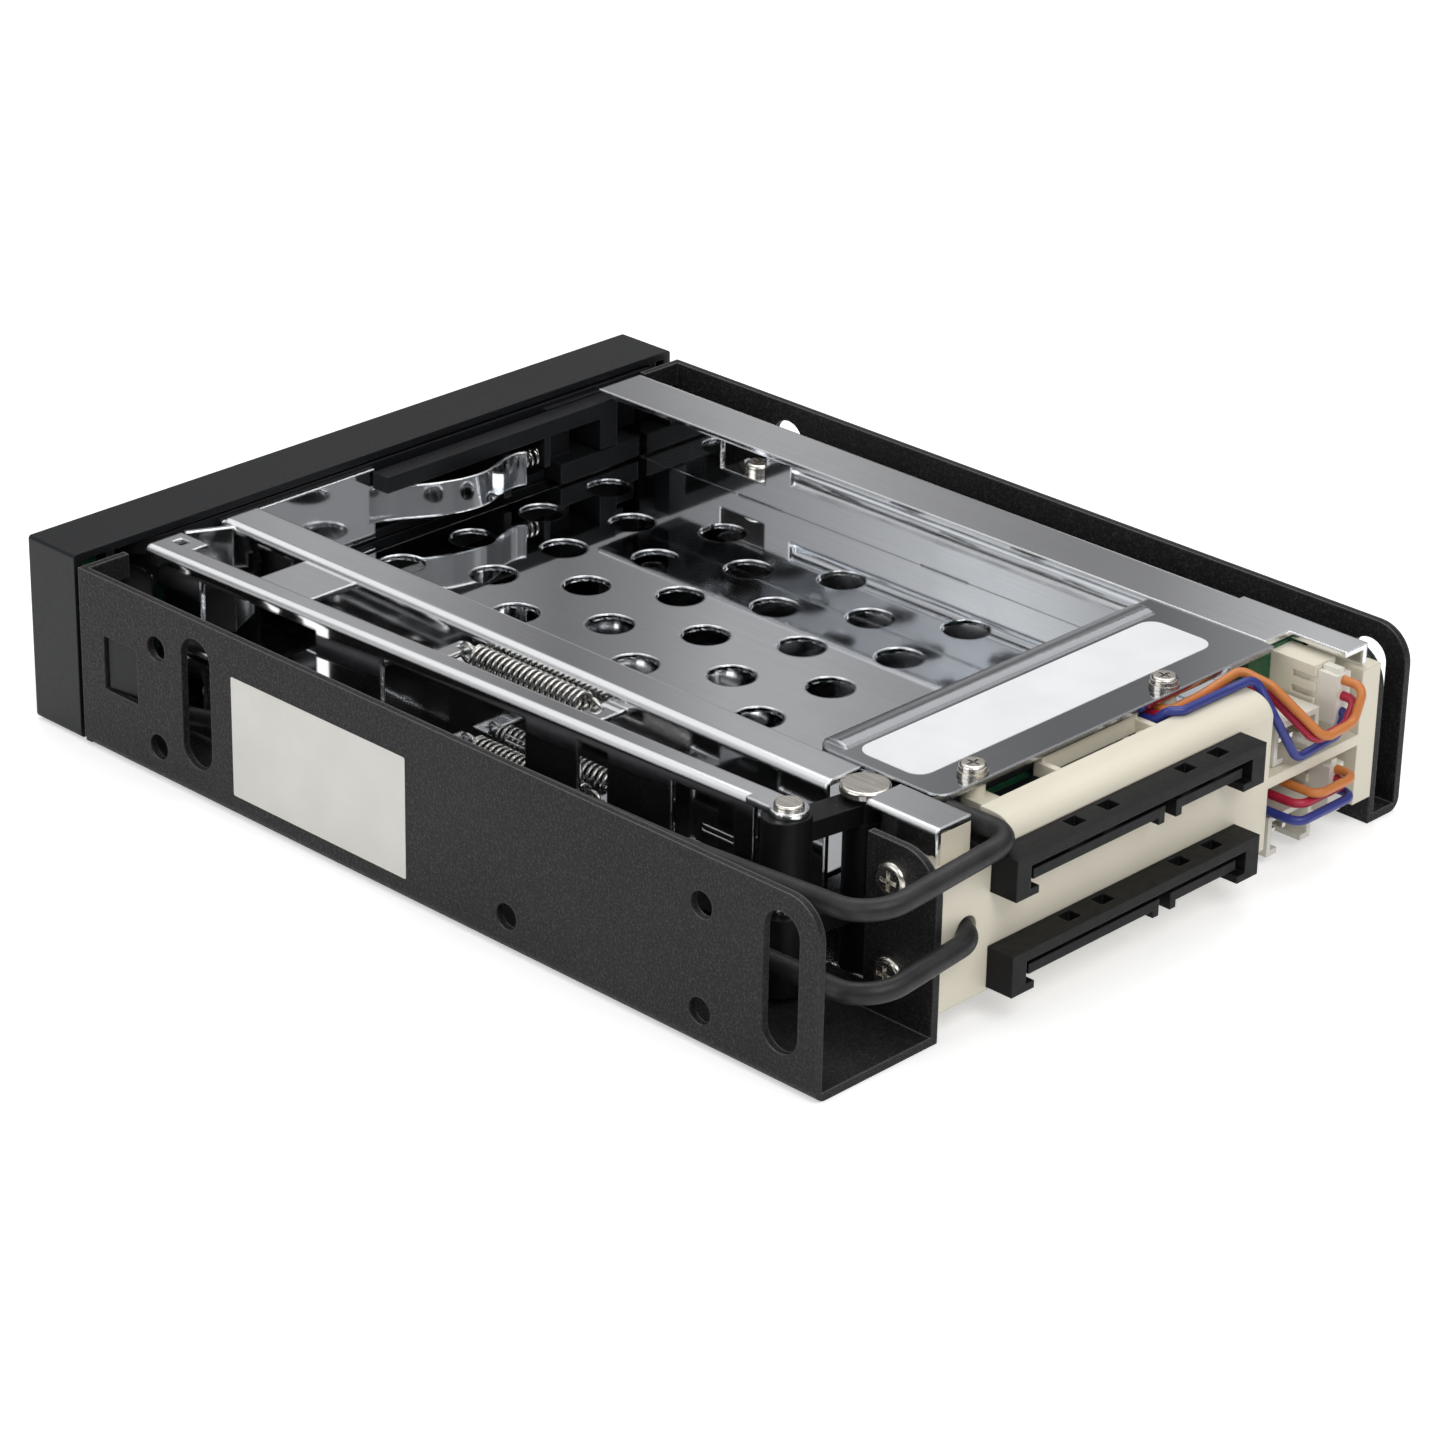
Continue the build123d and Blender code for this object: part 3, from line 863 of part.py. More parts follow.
for bay, top in BAY_TOPS.items():
    high = top - CONNECTOR_DROP
    low = high - CONNECTOR_HEIGHT
    tongue_z = (high - TONGUE_DROP - TONGUE_THICKNESS, high - TONGUE_DROP)
    tongue_x = (CONNECTOR_FAR + SHROUD_END + 1.1, CONNECTOR_NEAR - SHROUD_END - 1.1)

    with BuildPart() as host_connector:
        slab((CONNECTOR_FAR, CONNECTOR_NEAR), (BOARD_REAR, OVERALL_LENGTH), (low, high))
        cavity = (OVERALL_LENGTH - CAVITY_DEPTH, OVERALL_LENGTH + 1)
        slab((CONNECTOR_FAR + SHROUD_END, CONNECTOR_NEAR - SHROUD_END), cavity,
             (low + FOOT_HEIGHT, high - SHROUD_TOP), Mode.SUBTRACT)
        slab((CONNECTOR_FAR + SHROUD_END + SHROUD_FOOT, CONNECTOR_NEAR - SHROUD_END - SHROUD_FOOT),
             cavity, (low - 1, high - SHROUD_TOP), Mode.SUBTRACT)
        # Tongue in two lengths, each with a small key beside the split
        slab((tongue_x[0], KEY_SPLIT - 1.0), (cavity[0] - 1, OVERALL_LENGTH - 0.6), tongue_z)
        slab((KEY_SPLIT + 1.0, tongue_x[1]), (cavity[0] - 1, OVERALL_LENGTH - 0.6), tongue_z)
        for key_x in (KEY_SPLIT - 2.0, KEY_SPLIT + 1.0):
            slab((key_x, key_x + 1.0), (cavity[0] - 1, OVERALL_LENGTH - 0.6),
                 (tongue_z[0] - 0.9, tongue_z[0]))
        for slot_x in TOP_SLOTS_X:
            slab((slot_x - TOP_SLOT[0] / 2, slot_x + TOP_SLOT[0] / 2),
                 (FRAME_REAR + 1.5 - TOP_SLOT[1] / 2, FRAME_REAR + 1.5 + TOP_SLOT[1] / 2),
                 (high - SHROUD_TOP - 0.5, high + 1), Mode.SUBTRACT)
    write(host_connector.part, f"host_connector_{bay}")

    # Plated contacts on the underside of the tongue
    with BuildPart() as host_contacts:
        with BuildSketch(Plane.XY.offset(tongue_z[0])) as contact_rows:
            contact_depth = OVERALL_LENGTH - 0.9 - CAVITY_DEPTH / 2
            for first, count in ((tongue_x[0] + 0.9, 7), (KEY_SPLIT + 2.9, 15)):
                for index in range(count):
                    with Locations((first + CONTACT_PITCH * index, at(contact_depth))):
                        Rectangle(0.6, CAVITY_DEPTH - 1.8)
        extrude(amount=-0.12)
    write(host_contacts.part, f"host_contacts_{bay}")

    with BuildPart() as drive_connector:
        body_z = (top - DRIVE_CONNECTOR_DROPS[0], top - DRIVE_CONNECTOR_DROPS[1])
        slab((CONNECTOR_FAR + 1, CONNECTOR_NEAR - 1), (DRIVE_CONNECTOR_FRONT, BOARD_FRONT), body_z)
        slot_middle = sum(body_z) / 2
        slab((CONNECTOR_FAR + 3.4, CONNECTOR_NEAR - 3.4),
             (DRIVE_CONNECTOR_FRONT - 1, DRIVE_CONNECTOR_FRONT + 4.5),
             (slot_middle - 0.8, slot_middle + 0.8), Mode.SUBTRACT)
        for post_x in (CONNECTOR_FAR + 1, CONNECTOR_NEAR - 2.6):
            slab((post_x, post_x + 1.6), (DRIVE_CONNECTOR_FRONT - 2.0, DRIVE_CONNECTOR_FRONT + 1),
                 (slot_middle - 1.2, slot_middle + 1.2))
    write(drive_connector.part, f"drive_connector_{bay}")

    header_z = (top - HEADER_DROPS[0], top - HEADER_DROPS[1])
    inside_x = (HEADER_X[0] + HEADER_WALL, HEADER_X[1] - HEADER_WALL)
    inside_z = (header_z[0] + HEADER_WALL, header_z[1] - HEADER_WALL)
    with BuildPart() as wire_header:
        slab(HEADER_X, (BOARD_REAR, HEADER_REAR), header_z)
        slab(inside_x, (BOARD_REAR + 2.0, HEADER_REAR + 1), inside_z, Mode.SUBTRACT)
        for drop in (3.3, 5.25, 7.2):
            slab((inside_x[1] - 0.5, HEADER_X[1] + 1), (HEADER_REAR - 3.2, HEADER_REAR + 1),
                 (top - drop - 0.45, top - drop + 0.45), Mode.SUBTRACT)
    write(wire_header.part, f"wire_header_{bay}")

    with BuildPart() as wire_plug:
        slab((inside_x[0] + 0.05, inside_x[1] - 0.05), (BOARD_REAR + 2.0, PLUG_REAR),
             (inside_z[0] + 0.05, inside_z[1] - 0.05))
        slab((inside_x[0] + 0.8, inside_x[1] - 0.8), (HEADER_REAR + 0.1, PLUG_REAR - 0.4),
             (inside_z[1] - 0.05, inside_z[1] + 0.5))
    write(wire_plug.part, f"wire_plug_{bay}")

    # Spare header beside it: a white shroud, open behind and below, with three pins
    spare_x = (HEADER_X[1] + 0.4, HEADER_X[1] + 8.6)
    spare_z = (top - SPARE_DROPS[0], top - SPARE_DROPS[1])
    with BuildPart() as spare_header:
        slab(spare_x, (BOARD_REAR, SPARE_REAR), spare_z)
        slab((spare_x[0] + SPARE_WALL, spare_x[1] - SPARE_WALL), (SPARE_BASE, SPARE_REAR + 1),
             (spare_z[0] + SPARE_WALL, spare_z[1] - SPARE_WALL), Mode.SUBTRACT)
        slab((spare_x[0] + 1.9, spare_x[1] - 1.9), (SPARE_BASE + 1.2, SPARE_REAR + 1),
             (spare_z[0] - 1, spare_z[0] + SPARE_WALL), Mode.SUBTRACT)
    write(spare_header.part, f"spare_header_{bay}")

    with BuildPart() as spare_pins:
        with BuildSketch(front_plane(SPARE_REAR - 0.8)) as pin_row:
            with Locations((sum(spare_x) / 2, sum(spare_z) / 2)):
                with GridLocations(2.0, 2.0, 3, 1):
                    Rectangle(0.64, 0.64)
        extrude(amount=SPARE_REAR - 0.8 - SPARE_BASE)
    write(spare_pins.part, f"spare_header_pins_{bay}")


def cord(name, points, radii, radius):
    """Round cord along straight runs joined by tangent arcs."""
    with BuildPart() as strand:
        with BuildLine() as route:
            FilletPolyline(*[(x, at(depth), z) for x, depth, z in points], radius=radii)
        with BuildSketch(Plane(origin=route.line @ 0, z_dir=route.line % 0)):
            Circle(radius)
        sweep(path=route.line)
    write(strand.part, name)


# Three wires out of each plug. The upper ones hang in a loop, climb over the far end of the
# bracket and run under the cross plate into their sleeve.
WIRE_RADIUS = 0.55
SLEEVE_RADIUS = 1.25
SLEEVE_LANE = 118.9
SLEEVE_HEIGHT = CAGE_TOP - 2.1
SLEEVE_START = PLATE_SCREWS_X[0] + 2.2
WIRE_LOOPS = (OVERALL_LENGTH - 0.85, OVERALL_LENGTH - 2.0, OVERALL_LENGTH - 0.85)
LOW_WIRE_DROPS = (2.7, 3.95, 5.2)
wire_colours = ("orange", "red", "blue")
plug_x = sum(HEADER_X) / 2
far_x = BRACKET_BLOCK_FAR
seat_x = PLATE_SCREWS_X[1]
upper_routes = {
    "orange": [(plug_x, PLUG_REAR, 21.1), (plug_x, 134.35, 21.1), (far_x - 11.4, 134.35, 17.2),
               (far_x - 6.0, 134.35, 16.9), (far_x - 3.0, 128.6, 22.6), (far_x - 1.3, 125.2, 24.0),
               (far_x + 4.6, 124.35, 22.4), (seat_x + 2.2, 124.35, 22.25),
               (seat_x + 2.2, 118.9, 22.68), (SLEEVE_START, 118.9, 22.68)],
    "red": [(plug_x, PLUG_REAR, 19.1), (plug_x, 133.2, 19.1), (far_x - 11.4, 133.2, 16.4),
            (far_x - 5.8, 133.2, 16.3), (far_x - 3.4, 127.7, 21.35), (far_x - 0.7, 125.5, 22.4),
            (seat_x + 3.4, 125.5, 22.3), (seat_x + 3.4, 118.3, 21.4), (SLEEVE_START, 118.3, 21.4)],
    "blue": [(plug_x, PLUG_REAR, 17.1), (plug_x, 132.05, 17.1), (far_x - 11.6, 132.05, 14.7),
             (far_x - 4.0, 132.05, 14.2), (far_x - 1.15, 130.6, 20.0), (far_x - 1.0, 127.6, 23.9),
             (far_x + 3.6, 127.0, 23.5), (seat_x + 2.8, 127.0, 23.5), (seat_x + 4.0, 125.9, 23.5),
             (seat_x + 4.6, 124.4, 22.0), (seat_x + 4.6, 119.5, 21.45), (SLEEVE_START, 119.5, 21.45)],
}
UPPER_BENDS = {
    "orange": [1.3, 1.6, 1.8, 1.8, 1.6, 2.0, 1.2, 1.2],
    "red": [0.9, 1.2, 1.6, 1.4, 1.2, 1.2, 1.2],
    "blue": [0.6, 1.2, 1.6, 1.5, 1.5, 1.5, 0.8, 0.8, 0.8, 1.0],
}
for index, colour in enumerate(wire_colours):
    cord(f"wire_{colour}_upper", upper_routes[colour], UPPER_BENDS[colour], WIRE_RADIUS)
    loop = WIRE_LOOPS[index]
    drop_x = far_x - 5.7 + 1.6 * index
    low_z = DIVIDER_TOP - LOW_WIRE_DROPS[index]
    cord(f"wire_{colour}_lower",
         [(plug_x, PLUG_REAR, low_z), (plug_x, loop, low_z), (drop_x, loop, low_z),
          (drop_x, BOARD_REAR, low_z)], [1.5, 1.5], WIRE_RADIUS)

# Sleeved cables from the backplane to the lamp board, held along their whole way
CHANNEL_X = HALF_WIDTH - 6.0
LAMP_LEAD_X = LAMP_X - 0.2
REAR_LOOP = FRAME_REAR + SLEEVE_RADIUS + 0.6
lamp_rear = LAMP_BOARD_FRONT + 1.2
notch_middle = sum(NOTCH_X) / 2
cord("cable_sleeve_upper",
     [(SLEEVE_START, SLEEVE_LANE, SLEEVE_HEIGHT), (notch_middle, SLEEVE_LANE, SLEEVE_HEIGHT),
      (notch_middle, REAR_LOOP, SLEEVE_HEIGHT + 0.4), (CHANNEL_X, REAR_LOOP, 20.6),
      (CHANNEL_X, 105.0, 18.7), (CHANNEL_X, 30.0, 17.4), (LAMP_LEAD_X, 20.0, 17.3),
      (LAMP_LEAD_X, lamp_rear, 17.3)],
     [3.0, 3.2, 5.0, 20.0, 20.0, 14.0], SLEEVE_RADIUS)
cord("cable_sleeve_lower",
     [(SLEEVE_EXIT[0], BRACKET_FRONT, SLEEVE_EXIT[1]), (SLEEVE_EXIT[0], REAR_LOOP, SLEEVE_EXIT[1]),
      (CHANNEL_X, REAR_LOOP, 10.6), (CHANNEL_X, 105.0, 9.8), (CHANNEL_X, 30.0, 7.4),
      (LAMP_LEAD_X, 20.0, 6.7), (LAMP_LEAD_X, lamp_rear, 6.7)],
     [3.2, 5.0, 20.0, 20.0, 14.0], SLEEVE_RADIUS)
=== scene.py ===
import json
from math import cos, pi, radians, sin

import bmesh
import bpy
from mathutils import Matrix, Vector


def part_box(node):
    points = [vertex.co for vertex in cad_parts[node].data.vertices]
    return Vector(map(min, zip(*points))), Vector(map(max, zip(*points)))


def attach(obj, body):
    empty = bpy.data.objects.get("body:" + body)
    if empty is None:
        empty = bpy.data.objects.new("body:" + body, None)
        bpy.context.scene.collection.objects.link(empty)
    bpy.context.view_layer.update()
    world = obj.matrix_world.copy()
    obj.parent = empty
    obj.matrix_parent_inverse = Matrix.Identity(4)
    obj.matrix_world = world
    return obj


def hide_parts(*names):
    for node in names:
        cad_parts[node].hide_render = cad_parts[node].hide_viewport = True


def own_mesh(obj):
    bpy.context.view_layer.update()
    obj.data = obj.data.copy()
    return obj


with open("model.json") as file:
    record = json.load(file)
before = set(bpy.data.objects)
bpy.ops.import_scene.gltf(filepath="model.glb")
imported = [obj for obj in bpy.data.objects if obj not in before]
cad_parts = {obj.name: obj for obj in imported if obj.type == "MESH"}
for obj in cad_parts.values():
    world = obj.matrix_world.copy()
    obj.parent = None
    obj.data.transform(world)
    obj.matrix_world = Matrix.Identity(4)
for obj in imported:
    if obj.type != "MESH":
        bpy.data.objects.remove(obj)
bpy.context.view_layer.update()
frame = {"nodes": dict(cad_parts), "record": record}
nodes = frame["nodes"]

# Places that the dressing takes from the solids, in metres
MM = 0.001
LENGTH = 135.0 * MM
WALL_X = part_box("outer_frame")[1][0]
CAGE_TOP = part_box("bay_cage")[1][2]
BAYS = ("lower", "upper")


def at(depth_mm):
    """Y of a depth behind the bezel's front face; the depth is in millimetres."""
    return depth_mm * MM - LENGTH / 2


# Node helpers
class Nodes:
    """Short calls for the nodes of one tree."""

    def __init__(self, tree):
        self.tree = tree

    def node(self, kind, **values):
        """New node; a value goes to the input of that name, or else to the node's own property."""
        made = self.tree.nodes.new(kind)
        for key, value in values.items():
            if key in made.inputs:
                made.inputs[key].default_value = value
            else:
                setattr(made, key, value)
        return made

    def link(self, source, target):
        self.tree.links.new(source, target)

    def combine(self, operation, first, second):
        """Run a math operation on a socket and a second socket or number."""
        made = self.node("ShaderNodeMath", operation=operation)
        self.link(first, made.inputs[0])
        if isinstance(second, float):
            made.inputs[1].default_value = second
        else:
            self.link(second, made.inputs[1])
        return made.outputs[0]

    def ramp(self, source, low, high, from_low=0.3, from_high=0.7):
        """Map a factor on to a range of numbers."""
        made = self.node("ShaderNodeMapRange")
        made.inputs["From Min"].default_value = from_low
        made.inputs["From Max"].default_value = from_high
        made.inputs["To Min"].default_value = low
        made.inputs["To Max"].default_value = high
        self.link(source, made.inputs["Value"])
        return made.outputs["Result"]

    def camera_paths(self):
        """1 on camera rays alone, and 1 on camera, mirrored and transmitted rays."""
        path = self.node("ShaderNodeLightPath").outputs
        seen = self.combine("MAXIMUM", path["Is Camera Ray"], path["Is Glossy Ray"])
        return path["Is Camera Ray"], self.combine("MAXIMUM", seen, path["Is Transmission Ray"])


class Material(Nodes):
    """A node material around one Principled BSDF."""

    def __init__(self, name):
        self.material = bpy.data.materials.new(name)
        self.material.use_nodes = True
        super().__init__(self.material.node_tree)
        self.shader = self.tree.nodes["Principled BSDF"]

    def place(self, scale=(1, 1, 1)):
        """Object coordinates stretched by a scale; all pieces share one frame."""
        coordinates = self.node("ShaderNodeTexCoord")
        mapping = self.node("ShaderNodeMapping")
        mapping.inputs["Scale"].default_value = scale
        self.link(coordinates.outputs["Object"], mapping.inputs["Vector"])
        return mapping.outputs["Vector"]

    def noise(self, scale, detail=3.0, rough=0.5, stretch=(1, 1, 1)):
        """Noise factor, in object coordinates."""
        made = self.node("ShaderNodeTexNoise", Scale=scale, Detail=detail, Roughness=rough)
        self.link(self.place(stretch), made.inputs["Vector"])
        return made.outputs["Fac"]

    def blend(self, factor, first, second):
        """Mix two colours, each a tuple or a socket."""
        made = self.node("ShaderNodeMix", data_type="RGBA")
        self.link(factor, made.inputs["Factor"])
        for socket, value in ((made.inputs[6], first), (made.inputs[7], second)):
            if isinstance(value, tuple):
                socket.default_value = (*value, 1)
            else:
                self.link(value, socket)
        return made.outputs[2]

    def worn_edge(self, width):
        """1 on sharp edges and 0 on flats, from how far the rounded normal turns away."""
        bevel = self.node("ShaderNodeBevel", samples=4)
        bevel.inputs["Radius"].default_value = width
        geometry = self.node("ShaderNodeNewGeometry")
        product = self.node("ShaderNodeVectorMath", operation="DOT_PRODUCT")
        self.link(bevel.outputs["Normal"], product.inputs[0])
        self.link(geometry.outputs["Normal"], product.inputs[1])
        return self.ramp(product.outputs["Value"], 1.0, 0.0, 0.70, 0.985)

    def facing_up(self, least):
        """1 on faces that look up, and the least value on all others."""
        geometry = self.node("ShaderNodeNewGeometry")
        parts = self.node("ShaderNodeSeparateXYZ")
        self.link(geometry.outputs["Normal"], parts.inputs[0])
        return self.ramp(parts.outputs["Z"], least, 1.0, 0.4, 0.9)

    def surface(self, bumps=(), rounding=0.0):
        """Bump the normal by (height socket, strength, distance) and round sharp edges."""
        normal = None
        if rounding:
            bevel = self.node("ShaderNodeBevel", samples=4)
            bevel.inputs["Radius"].default_value = rounding
            normal = bevel.outputs["Normal"]
        for height, strength, distance in bumps:
            bump = self.node("ShaderNodeBump", Strength=strength, Distance=distance)
            self.link(height, bump.inputs["Height"])
            if normal:
                self.link(normal, bump.inputs["Normal"])
            normal = bump.outputs["Normal"]
        if normal:
            self.link(normal, self.shader.inputs["Normal"])

    def set(self, **values):
        """Set inputs of the shader; an underscore stands for a space in their names."""
        for key, value in values.items():
            self.shader.inputs[key.replace("_", " ")].default_value = value


def powder_coat():
    """Black powder coat on sheet steel: a fine orange peel, dusty specks, and lighter edges that
    are edge wear plus a painted highlight where they face up.
    """
    m = Material("frame_powder_coat")
    grain = m.noise(2600, detail=4, rough=0.6)
    specks = m.noise(3400, detail=2, rough=0.7)
    tone = m.noise(45, detail=3)
    base = m.blend(m.ramp(tone, 0, 1), (0.0070, 0.0068, 0.0072), (0.0125, 0.0120, 0.0122))
    dusty = m.blend(m.ramp(specks, 0, 0.6, 0.50, 0.68), base, (0.054, 0.052, 0.053))
    # Painted highlight with wear: edges are lightened fully where they face up, as overhead light
    # falls, and only a little elsewhere as edge wear
    upward_highlight_and_wear = m.combine("MULTIPLY", m.worn_edge(0.5 * MM), m.facing_up(0.12))
    worn_and_highlit = m.blend(upward_highlight_and_wear, dusty, (0.215, 0.212, 0.210))
    m.link(worn_and_highlit, m.shader.inputs["Base Color"])
    m.link(m.ramp(grain, 0.42, 0.62), m.shader.inputs["Roughness"])
    m.set(Specular_IOR_Level=0.2)
    m.surface([(grain, 0.85, 0.10 * MM), (specks, 0.30, 0.03 * MM)], rounding=0.25 * MM)
    return m.material


LINES_ALONG = {"x": (4, 210, 210), "y": (210, 4, 210)}


def stainless(name, along, tint=(0.83, 0.84, 0.855), rough=(0.04, 0.11)):
    """Bright rolled stainless sheet: near mirror, with rolling lines, smears and slow waves."""
    m = Material(name)
    lines = m.noise(9, detail=5, rough=0.6, stretch=LINES_ALONG[along])
    smears = m.noise(55, detail=4, rough=0.62)
    dark = tuple(c * 0.965 for c in tint)
    base = m.blend(m.ramp(lines, 0, 1, 0.35, 0.65), dark, tint)
    smeared = m.blend(m.ramp(smears, 0, 0.6, 0.52, 0.8), base, tuple(c * 0.86 for c in tint))
    m.link(smeared, m.shader.inputs["Base Color"])
    m.link(m.ramp(smears, rough[0], rough[1], 0.3, 0.75), m.shader.inputs["Roughness"])
    m.set(Metallic=1.0)
    waves = m.noise(22, detail=1.5)
    m.surface([(waves, 0.07, 0.5 * MM), (lines, 0.006, 0.02 * MM)], rounding=0.42 * MM)
    return m.material


def plain_metal(name, colour, rough=(0.18, 0.34), rounding=0.1):
    """Plated small parts: a slightly cloudy metal."""
    m = Material(name)
    clouds = m.noise(420, detail=3)
    scratches = m.noise(90, detail=5, rough=0.7, stretch=(40, 1, 6))
    m.link(m.blend(m.ramp(clouds, 0, 1), tuple(c * 0.86 for c in colour), colour),
           m.shader.inputs["Base Color"])
    m.link(m.ramp(scratches, rough[0], rough[1]), m.shader.inputs["Roughness"])
    m.set(Metallic=1.0)
    m.surface([(clouds, 0.025, 0.02 * MM)], rounding=rounding * MM)
    return m.material


def plastic(name, colour, rough, grain=900, bump=0.18, edge=None, gloss=0.5, shade=0.8):
    """Moulded plastic: fine spark-eroded grain, slow colour drift and softly rounded edges."""
    m = Material(name)
    texture = m.noise(grain, detail=3, rough=0.6)
    drift = m.noise(50, detail=2)
    base = m.blend(m.ramp(drift, 0, 1), tuple(c * shade for c in colour), colour)
    if edge:
        base = m.blend(m.worn_edge(0.3 * MM), base, edge)
    m.link(base, m.shader.inputs["Base Color"])
    m.link(m.ramp(texture, rough[0], rough[1]), m.shader.inputs["Roughness"])
    m.set(Specular_IOR_Level=gloss)
    m.surface([(texture, bump, 0.03 * MM)], rounding=0.22 * MM)
    return m.material


def wire_jacket(name, colour):
    """Smooth coloured wire insulation."""
    return plastic(name, colour, (0.30, 0.42), grain=1600, bump=0.08, shade=0.85)


def solder_mask():
    """Green board: mask over faint copper tracks."""
    m = Material("board_green")
    tracks = m.node("ShaderNodeTexBrick", Scale=260.0, offset=0.37)
    tracks.inputs["Mortar Size"].default_value = 0.10
    tracks.inputs["Color1"].default_value = (0.020, 0.145, 0.055, 1)
    tracks.inputs["Color2"].default_value = (0.028, 0.185, 0.070, 1)
    tracks.inputs["Mortar"].default_value = (0.010, 0.085, 0.035, 1)
    m.link(m.place(), tracks.inputs["Vector"])
    m.link(tracks.outputs["Color"], m.shader.inputs["Base Color"])
    film = m.noise(300)
    m.link(m.ramp(film, 0.22, 0.38), m.shader.inputs["Roughness"])
    m.surface([(tracks.outputs["Fac"], 0.15, 0.03 * MM)])
    return m.material


def lamp_guide():
    """Milky clear light guide, unlit."""
    m = Material("lamp_guide")
    haze = m.noise(700)
    m.link(m.blend(m.ramp(haze, 0, 1), (0.55, 0.57, 0.60), (0.70, 0.72, 0.74)),
           m.shader.inputs["Base Color"])
    m.set(Roughness=0.18, Transmission_Weight=0.35, IOR=1.49)
    m.surface([(haze, 0.08, 0.02 * MM)], rounding=0.1 * MM)
    return m.material


def sleeving():
    """Soft black cable jacket with a faint dusty bloom."""
    m = Material("sleeve_jacket")
    bloom = m.noise(320, detail=4)
    fine = m.noise(2400, detail=2)
    m.link(m.blend(m.ramp(bloom, 0, 1), (0.012, 0.012, 0.013), (0.026, 0.026, 0.028)),
           m.shader.inputs["Base Color"])
    m.link(m.ramp(fine, 0.36, 0.52), m.shader.inputs["Roughness"])
    m.set(Specular_IOR_Level=0.3)
    m.surface([(fine, 0.2, 0.02 * MM), (bloom, 0.15, 0.1 * MM)])
    return m.material


def label_film(name, colour, metal):
    """Blank adhesive film, slightly rippled."""
    m = Material(name)
    ripple = m.noise(120, detail=2)
    fibre = m.noise(1800, detail=3)
    m.link(m.blend(m.ramp(ripple, 0, 1), tuple(c * 0.93 for c in colour), colour),
           m.shader.inputs["Base Color"])
    m.link(m.ramp(fibre, 0.30, 0.46), m.shader.inputs["Roughness"])
    m.set(Metallic=metal)
    m.surface([(ripple, 0.12, 0.15 * MM), (fibre, 0.06, 0.01 * MM)])
    return m.material


# Finishes by material slot, and those of two plates that differ from their slot's
FINISHES = {
    "frame_paint": powder_coat(),
    "stainless": stainless("stainless_length", "y"),
    "bezel_plastic": plastic("bezel_satin", (0.0085, 0.0092, 0.0105), (0.34, 0.46), grain=1500,
                             bump=0.14, edge=(0.022, 0.023, 0.025), gloss=0.25, shade=0.85),
    "ivory_plastic": plastic("bracket_ivory", (0.78, 0.73, 0.60), (0.34, 0.50), grain=700,
                             bump=0.12, gloss=0.45, shade=0.93),
    "black_plastic": plastic("connector_black", (0.0070, 0.0072, 0.0080), (0.36, 0.50), grain=1100,
                             bump=0.2, edge=(0.035, 0.035, 0.037), gloss=0.14),
    "nickel": plain_metal("screw_nickel", (0.66, 0.63, 0.58)),
    "spring_steel": plain_metal("spring_wire", (0.50, 0.49, 0.47), (0.16, 0.30), 0.05),
    "board_green": solder_mask(),
    "white_plastic": plastic("plug_white", (0.80, 0.78, 0.70), (0.32, 0.48), bump=0.12, gloss=0.45,
                             shade=0.92),
    "gold": plain_metal("contact_gold", (0.85, 0.62, 0.25), (0.15, 0.28), 0.05),
    "lamp_clear": lamp_guide(),
    "wire_orange": wire_jacket("wire_orange", (0.62, 0.205, 0.045)),
    "wire_red": wire_jacket("wire_red", (0.45, 0.012, 0.045)),
    "wire_blue": wire_jacket("wire_blue", (0.024, 0.036, 0.235)),
    "sleeve_black": sleeving(),
}
SPECIAL = {
    "rear_top_plate": stainless("stainless_across", "x", (0.44, 0.45, 0.47), (0.03, 0.09)),
    "divider_plate": stainless("stainless_divider", "y", (0.80, 0.82, 0.845), (0.025, 0.07)),
}
for entry in frame["record"]["subparts"]:
    finish = SPECIAL.get(entry["node"], FINISHES[entry["material_slot"]])
    for holder in nodes[entry["node"]].material_slots:
        holder.material = finish


# Dressing pieces
def build_object(name, mesh_builder, material):
    """New object whose mesh comes from a bmesh builder."""
    mesh = bpy.data.meshes.new(name)
    shape = bmesh.new()
    mesh_builder(shape)
    shape.to_mesh(mesh)
    shape.free()
    mesh.materials.append(material)
    made = bpy.data.objects.new(name, mesh)
    bpy.context.scene.collection.objects.link(made)
    return made


def new_piece(name, mesh_builder, material, body):
    """New piece of the part, which rides on a body."""
    piece = build_object(name, mesh_builder, material)
    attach(piece, body)
    return piece


def rounded_outline(width, height, radius, steps=6):
    """Corner points of a rounded rectangle about the origin."""
    points = []
    for corner, (sx, sy) in enumerate(((1, 1), (-1, 1), (-1, -1), (1, -1))):
        for step in range(steps + 1):
            angle = (corner + step / steps) * pi / 2
            points.append((sx * (width / 2 - radius) + radius * cos(angle),
                           sy * (height / 2 - radius) + radius * sin(angle)))
    return points


FILM_THICKNESS = 0.06 * MM


def film(centre, width, height, radius, across, up):
    """Builder of a thin rounded film that stands out of its centre along across x up."""
    across, up = Vector(across), Vector(up)
    out = across.cross(up)

    def build(shape):
        outline = rounded_outline(width, height, radius)
        back = [shape.verts.new(Vector(centre) + across * u + up * v) for u, v in outline]
        face = shape.faces.new(back)
        made = bmesh.ops.extrude_face_region(shape, geom=[face])
        top = [v for v in made["geom"] if isinstance(v, bmesh.types.BMVert)]
        bmesh.ops.translate(shape, verts=top, vec=out * FILM_THICKNESS)
        bmesh.ops.recalc_face_normals(shape, faces=shape.faces)
    return build


